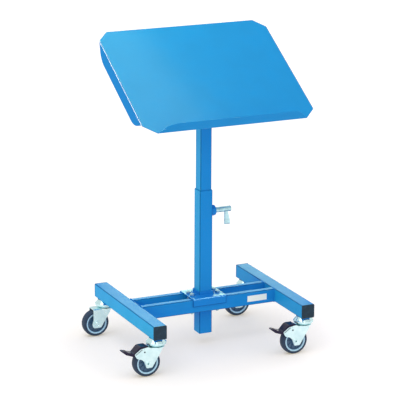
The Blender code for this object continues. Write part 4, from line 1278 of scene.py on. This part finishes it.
    def axle(self, caster, casters):
        node = caster + "_axle"
        place = Place(node)
        half, head, shank = place.size.y / 2, place.size.z / 2, casters.axle / 2
        face = casters.fork_in + casters.fork_sheet + self.BOSS_HEIGHT + self.HEAD_GAP
        front = caster in FRONT_CASTERS
        bore, depth = (s * shank for s in self.FRONT_BORE) if front else (s * head for s in self.REAR_BORE)
        bottom, edge = half - depth, self.BORE_EDGE
        flare = [(0, bottom), (self.BORE_DRAFT * bore, bottom), (bore, half - edge), (bore + edge, half),
                 (self.HEAD_FACE * head, half), (head, (half + face) / 2), (self.HEAD_UNDER * head, face),
                 (shank, face)]
        mesh = turned(flare + [(r, -h) for r, h in reversed(flare)], 40, "Y")
        piece(node + "_plated", mesh, "turned_zinc", caster + "_caster", node,
              at=Matrix.Translation(place.middle))


class STAND_OT_wheels(Operator):
    """Make the wheels: moulded cores with ribbed webs, and rubber tyres."""
    bl_idname = "stand.wheels"
    bl_label = "Wheels"

    SIDES = 72
    # How far a tyre's tread is crowned, and the radius that rounds it
    CROWN = 0.0012
    CROWN_ROUND = 0.060
    RIBS = 10
    RIB_WIDTH = 0.0022
    RIB_HEIGHT = 0.0025
    # Corners of a core: where its web meets the hub and the rim, and its small outer ones
    DRAFT = 0.001
    FILLET = 0.002
    SMALL = 0.0008
    SMALLEST = 0.0006

    def execute(self, context):
        casters, fit = context.scene.stand_casters, context.scene.stand_hardware.clearance
        place = Place("front_left_tyre")
        # A faceted tyre stands on a flat, so its height is a little under its diameter
        outer, half = place.size.z / 2, place.size.y / 2
        tyre = self.tyre(outer, half, casters)
        core = self.core(outer - casters.tyre - fit, half - self.CROWN, casters, fit)
        for caster in CASTERS:
            at, body = Matrix.Translation(joint_at(caster + "_roll")), caster + "_wheel"
            piece(caster + "_tyre_moulded", tyre, "tyre_rubber", body, caster + "_tyre", at=at)
            piece(caster + "_core_moulded", core, "core_plastic", body, caster + "_wheel_core", at=at)
        return {"FINISHED"}

    def tyre(self, outer, half, casters):
        seat, edge, soft = outer - casters.tyre, outer - self.CROWN, casters.tyre_shoulder
        section = [(seat, half, 0), (edge, half, soft), (outer, 0, self.CROWN_ROUND), (edge, -half, soft),
                   (seat, -half, 0)]
        return turned(rounded(section), self.SIDES, "Y", joined=True)

    def core(self, rim, lip, casters, fit):
        tip = Place("front_left_wheel_core").size.y / 2
        web, hub, bore = casters.web / 2, casters.hub / 2, casters.axle / 2 + fit
        inside, draft = rim - casters.rim_lip, self.DRAFT
        side = [(bore, tip, 0), (hub, tip, self.SMALL), (hub + draft, web, self.FILLET),
                (inside - draft, web, self.FILLET), (inside, lip, self.SMALL), (rim, lip, self.SMALLEST)]
        section = rounded(side + [(r, -h, soft) for r, h, soft in reversed(side)], 3)
        outline = rectangle(inside - hub + 2 * draft, self.RIB_WIDTH, self.SMALL, 2)
        proud = web + self.RIB_HEIGHT
        ribs = []
        for k in range(self.RIBS):
            bar = prism(outline, -proud, proud, "Z", ((inside + hub) / 2, 0, 0))
            bar.transform(Matrix.Rotation(2 * math.pi * k / self.RIBS, 4, "Z"))
            bar.transform(Matrix.Rotation(math.pi / 2, 4, "X"))
            ribs.append(bar)
        mesh = weld(turned(section, self.SIDES, "Y", joined=True), *ribs)
        # The ring that the finish paints pale: partly lighter plastic, partly a painted highlight
        mark(mesh, "ring", lambda point: math.hypot(point.x, point.z) > inside - draft / 2)
        return mesh


class STAND_OT_brake_pedals(Operator):
    """Make the moulded brake pedals: a hood over the tyre and a tongue with grip ribs."""
    bl_idname = "stand.brake_pedals"
    bl_label = "Brake pedals"

    # Corners of a pedal's side before its pin and above it, each with its radius: the dip behind the hood,
    # the tongue's upper side and the heel under it
    DIP = (-0.028, -0.0105, 0.005)
    TONGUE = (-0.041, -0.0065, 0.020)
    HEEL = (-0.030, -0.0178, 0.004)
    # The hood's back end and the rounding of its two ends
    HOOD_END = -0.012
    HOOD_ROUNDS = (0.004, 0.014)
    # First and last foot of the grip ribs, how many they are and how far they stand out
    RIBS_AT = ((-0.046, -0.0046), (-0.058, -0.0005))
    RIBS = 4
    RIB_HEIGHT = 0.0007
    # A rib's corners, as shares of the distance between ribs and of its height
    RIB = ((0.0, 0.0), (0.15, 1.0), (0.45, 1.0), (0.6, 0.0))
    # Upper and lower edge of the tip and their radius, and the corner of the tongue's underside past the tip
    TIP = (0.001, -0.0015)
    TIP_ROUND = 0.0009
    UNDERSIDE = (0.014, -0.0125, 0.012)
    # Back end of the arch over the tyre, its steps, and its gap to the tyre when the pedal is up
    ARCH_END = -0.024
    STEPS = 16
    GAP = 0.0014
    # Seen from above: where the tongue starts to narrow past its tip, and the rounding there and at the tip
    TAPER = 0.040
    TAPER_ROUND = 0.016
    PLAN_ROUND = 0.006
    # Rounding of the long upper edges, and of all other edges
    CROWN = 0.0035
    EDGE = 0.0005
    # Half the size of a cutter that goes right through
    THROUGH = 0.06

    def execute(self, context):
        casters, fit = context.scene.stand_casters, context.scene.stand_hardware.clearance
        for caster in FRONT_CASTERS:
            node, pin = caster + "_brake_pedal", joint_at(caster + "_brake_press")
            low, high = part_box(node)
            mesh, at = self.pedal(caster, casters, fit, pin, low - pin, high - pin), Matrix.Translation(pin)
            piece(node + "_moulded", mesh, "glossy_plastic", caster + "_brake", node, at=at)
        return {"FINISHED"}

    def pedal(self, caster, casters, fit, pin, low, high):
        """A pedal about its pin, with rounded upper edges and a tongue that narrows towards its tip."""
        tip, front, half = low.x, high.x, high.y
        side = self.side(caster, casters, fit, pin, tip, front)
        edge = [(down, half - across) for across, down in quarter(self.CROWN, 6)]
        crown = [(inset, -y) for inset, y in edge] + edge[::-1]
        body = loft([lift(self.drawn_in(side, inset), y, "Y") for inset, y in crown])
        near = [(front + fit, half + fit, 0), (tip + self.TAPER, half + fit, self.TAPER_ROUND),
                (tip - fit, casters.pedal_tip / 2, self.PLAN_ROUND)]
        far = [(x, -y, radius) for x, y, radius in reversed(near)]
        plan = rounded(far[-1:] + near + far[:-1], 8)
        mesh = combine("INTERSECT", body, prism(plan, -self.THROUGH, self.THROUGH))
        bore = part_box(caster + "_pedal_pin")[1].z - pin.z + fit
        hole = prism(circle(bore, 24), -self.THROUGH / 2, self.THROUGH / 2, "Y")
        return soften(cut(mesh, hole), self.EDGE)

    def drawn_in(self, outline, inset):
        """An outline moved in by so much where it faces up, and by less on its slopes."""
        moved = []
        for k, point in enumerate(outline):
            along = outline[(k + 1) % len(outline)] - outline[k - 1]
            out = Vector((-along.y, along.x)).normalized()
            moved.append(point - out * inset * math.sqrt(max(0.0, out.y)))
        return moved

    def side(self, caster, casters, fit, pin, tip, front):
        """The side from the hood's front corner: hood, dip, ribbed tongue, heel, and arch over the tyre."""
        up = joint_at(caster + "_roll") - pin
        up = Vector((up.x, up.z))
        down = Matrix.Rotation(-math.radians(JOINTS[caster + "_brake_press"]["range_deg"][1]), 2) @ up
        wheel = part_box("front_left_tyre")[1].z - joint_at("front_left_roll").z

        def over_tyre(x):
            gaps = ((up, self.GAP), (down, 2 * fit))
            return max(axle.y + math.sqrt((wheel + gap) ** 2 - (x - axle.x) ** 2) for axle, gap in gaps)

        arch = [front + (self.ARCH_END - front) * k / self.STEPS for k in range(self.STEPS + 1)]
        past, under, belly = self.UNDERSIDE
        hood = [(x, casters.hood, r) for x, r in zip((front, self.HOOD_END), self.HOOD_ROUNDS)]
        corners = [*hood, self.DIP, self.TONGUE, *self.ribs(), *((tip, z, self.TIP_ROUND) for z in self.TIP),
                   (tip + past, under, belly), self.HEEL, *((x, over_tyre(x), 0) for x in reversed(arch))]
        return rounded(corners, 8)

    def ribs(self):
        """Corners of the grip ribs along the tongue's upper side."""
        start, end = map(Vector, self.RIBS_AT)
        step = (end - start) / self.RIBS
        out = Vector((-step.y, step.x)).normalized() * -self.RIB_HEIGHT
        points = [start + (k + along) * step + up * out for k in range(self.RIBS) for along, up in self.RIB]
        return [(point.x, point.y, 0) for point in points]


class STAND_OT_welds(Operator):
    """Run the painted fillet welds where the steelwork is joined."""
    bl_idname = "stand.welds"
    bl_label = "Welds"

    # Points in one ripple, and how much of a weld's width the ripples take
    FINENESS = 4
    RIPPLE = 0.14
    # How steeply an open weld falls off towards its ends, and what is left of its section there
    FALL = 20
    LEFT = 0.02

    def execute(self, context):
        steel = context.scene.stand_steelwork
        socket, nut = Place("post_socket_sleeve"), Place("clamp_weld_nut")
        outline = rectangle(socket.size.x, socket.size.y, steel.tube_radius, 4)
        path = lift(outline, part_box("post_saddle")[1].z, "Z", (PIVOT.x, 0, 0))
        self.run("socket_weld", path, (0, 0, 1), steel, "base")
        for end in ("front", "rear"):
            beam = Place(end + "_crossbeam")
            outline = rectangle(beam.size.y, beam.size.z, steel.tube_radius, 4)
            for side, x in (("left", beam.low.x), ("right", beam.high.x)):
                path = lift(outline, x, "X", (0, beam.middle.y, beam.middle.z))
                self.run(f"{end}_{side}_beam_weld", path, (1, 0, 0), steel, "base")
        outline = circle((nut.size.y + nut.size.z) / 4, 24)
        path = lift(outline, nut.low.x, "X", (0, nut.middle.y, nut.middle.z))
        self.run("clamp_nut_weld", path, (1, 0, 0), steel, "base")
        bracket = Place("tilt_bracket", TRAY_FRAME)
        for side, x in (("left", bracket.low.x), ("right", bracket.high.x)):
            path = [Vector((x, y, bracket.high.z)) for y in (bracket.low.y, bracket.high.y)]
            self.run(side + "_bracket_weld", path, (0, 0, 1), steel, "tray", TRAY_FRAME, closed=False)
        return {"FINISHED"}

    def run(self, name, path, normal, steel, body, at=None, closed=True):
        """A rippled weld along a path of points, tapered at its ends if it is open."""
        points = self.even(path, steel.weld_ripple / self.FINENESS, closed)
        last = len(points) - 1
        radii = []
        for k in range(last + 1):
            swell = 1 - self.RIPPLE * (1 - abs(math.sin(math.pi * k / self.FINENESS)))
            if not closed:
                swell *= math.sqrt(max(self.LEFT, 1 - (2 * k / last - 1) ** self.FALL))
            radii.append(steel.weld / 2 * swell)
        piece(name, bead(points, Vector(normal), radii, closed), "powder_coat", body, at=at)

    def even(self, path, step, closed):
        """Points at even steps along a path."""
        stops = path + [path[0]] if closed else path
        points = []
        for a, b in zip(stops, stops[1:]):
            count = max(1, round((b - a).length / step))
            points += [a.lerp(b, k / count) for k in range(count)]
        return points if closed else points + [stops[-1]]


class STAND_OT_label(Operator):
    """Stick the blank label on the front crossbeam."""
    bl_idname = "stand.label"
    bl_label = "Blank label"

    FILM = 0.00025
    CORNER = 0.0012
    EDGE = 0.0001

    def execute(self, context):
        steel = context.scene.stand_steelwork
        beam = Place("front_crossbeam")
        at = (PIVOT.x + steel.label_offset, 0, beam.middle.z)
        outline = rectangle(steel.label_width, steel.label_height, self.CORNER, 4)
        mesh = prism(outline, beam.low.y - self.FILM, beam.low.y + self.FILM, "Y", at)
        piece("front_beam_blank_label", soften(mesh, self.EDGE), "label_vinyl", "base")
        return {"FINISHED"}


class STAND_OT_stage(Operator):
    """Set the floor, the studio's light and the camera."""
    bl_idname = "stand.stage"
    bl_label = "Studio"

    FLOOR = 30.0
    SENSOR = 36
    # Where the key light shines to, and the point that the softboxes face
    KEY = (0.34, 0.24, -0.85)
    FACED = (PIVOT.x, 0, 0.4)
    # Each softbox's place, size, power, tint, the pieces it is kept to, and whether it shows only in gloss
    SOFTBOXES = {
        "tray_softbox": ((0.36, 0.18, 3.1), 1.4, "glare", "glare_tint", "tray", True),
        "left_softbox": ((-0.3, 0.4, 1.5), 0.4, "left", "left_tint", "tray", False),
        "base_softbox": ((-1.5, -0.4, 0.45), 0.6, "fill", "fill_tint", "tube", False),
        "fold_softbox": ((-2.1, 0.85, 2.55), 1.3, "fold_glint", "tint", "tray", True),
        "bend_softbox": ((1.39, -1.86, 2.57), 0.9, "bend_glint", "bend_tint", "powder_coat", True),
        "leg_softbox": ((0.66, 1.33, 0.57), 0.75, "leg_sheen", "left_tint", "powder_coat", True),
    }

    def execute(self, context):
        scene, stage = context.scene, context.scene.stand_stage
        self.floor()
        self.sky(scene, stage)
        key = self.light("key_light", "SUN", stage.sun, stage.tint, Vector(self.KEY))
        key.data.angle = stage.spread
        for name, (at, size, watts, tint, pieces, only_gloss) in self.SOFTBOXES.items():
            facing = Vector(self.FACED) - Vector(at)
            box = self.light(name, "AREA", getattr(stage, watts), getattr(stage, tint), facing)
            box.data.shape = "SQUARE"
            box.data.size = size
            box.location = at
            box.visible_camera = False
            box.visible_diffuse = not only_gloss
            box.light_linking.receiver_collection = lit(pieces)
        self.camera(scene, stage)
        scene.view_settings.view_transform = "Standard"
        return {"FINISHED"}

    def floor(self):
        bm = bmesh.new()
        bmesh.ops.create_grid(bm, x_segments=8, y_segments=8, size=self.FLOOR / 2)
        mesh = as_mesh(bm)
        mesh.materials.append(finish("studio_floor"))
        add("studio_floor", mesh)

    def sky(self, scene, stage):
        scene.world = bpy.data.worlds.new("studio")
        scene.world.use_nodes = True
        background = scene.world.node_tree.nodes["Background"]
        background.inputs["Color"].default_value = (*stage.tint, 1.0)
        background.inputs["Strength"].default_value = stage.sky

    def light(self, name, kind, energy, tint, facing):
        light = bpy.data.lights.new(name, kind)
        light.energy = energy
        light.color = tint
        obj = add(name, light)
        obj.rotation_euler = facing.to_track_quat("-Z", "Y").to_euler()
        return obj

    def camera(self, scene, stage):
        a, e, r = stage.azimuth, stage.elevation, stage.roll
        back = Vector((math.sin(a) * math.cos(e), -math.cos(a) * math.cos(e), math.sin(e)))
        right = Vector((math.cos(a), math.sin(a), 0))
        up = back.cross(right)
        turned_right = math.cos(r) * right + math.sin(r) * up
        turned_up = math.cos(r) * up - math.sin(r) * right
        data = bpy.data.cameras.new("camera")
        data.sensor_width = self.SENSOR
        data.lens = stage.lens
        scene.camera = add("camera", data)
        axes = Matrix((turned_right, turned_up, back)).transposed().to_4x4()
        scene.camera.matrix_world = Matrix.Translation(Vector(stage.target) + stage.distance * back) @ axes


OPERATORS = (
    STAND_OT_stage, STAND_OT_tubes, STAND_OT_end_plugs, STAND_OT_saddle, STAND_OT_fasteners, STAND_OT_tray,
    STAND_OT_tilt_head, STAND_OT_levers, STAND_OT_swivel_heads, STAND_OT_forks, STAND_OT_wheels,
    STAND_OT_brake_pedals, STAND_OT_welds, STAND_OT_label,
)


class STAND_PT_sidebar(Panel):
    """The stand's groups of pieces, in the order that they are made, and their settings."""
    bl_label = "Material support stand"
    bl_idname = "STAND_PT_sidebar"
    bl_space_type = "VIEW_3D"
    bl_region_type = "UI"
    bl_category = "Stand"

    def draw(self, context):
        for operator in OPERATORS:
            self.layout.operator(operator.bl_idname)
        for group in SETTINGS:
            box = self.layout.box()
            settings = getattr(context.scene, group)
            for name in settings.bl_rna.properties.keys():
                if name not in ("rna_type", "name"):
                    box.prop(settings, name)


CLASSES = tuple(SETTINGS.values()) + OPERATORS + (STAND_PT_sidebar,)


def register():
    for cls in CLASSES:
        bpy.utils.register_class(cls)
    for name, group in SETTINGS.items():
        setattr(bpy.types.Scene, name, PointerProperty(type=group))


def unregister():
    for name in SETTINGS:
        delattr(bpy.types.Scene, name)
    for cls in reversed(CLASSES):
        bpy.utils.unregister_class(cls)


def main():
    register()
    for operator in OPERATORS:
        getattr(bpy.ops.stand, operator.bl_idname.split(".")[1])()


if __name__ == "__main__":
    main()
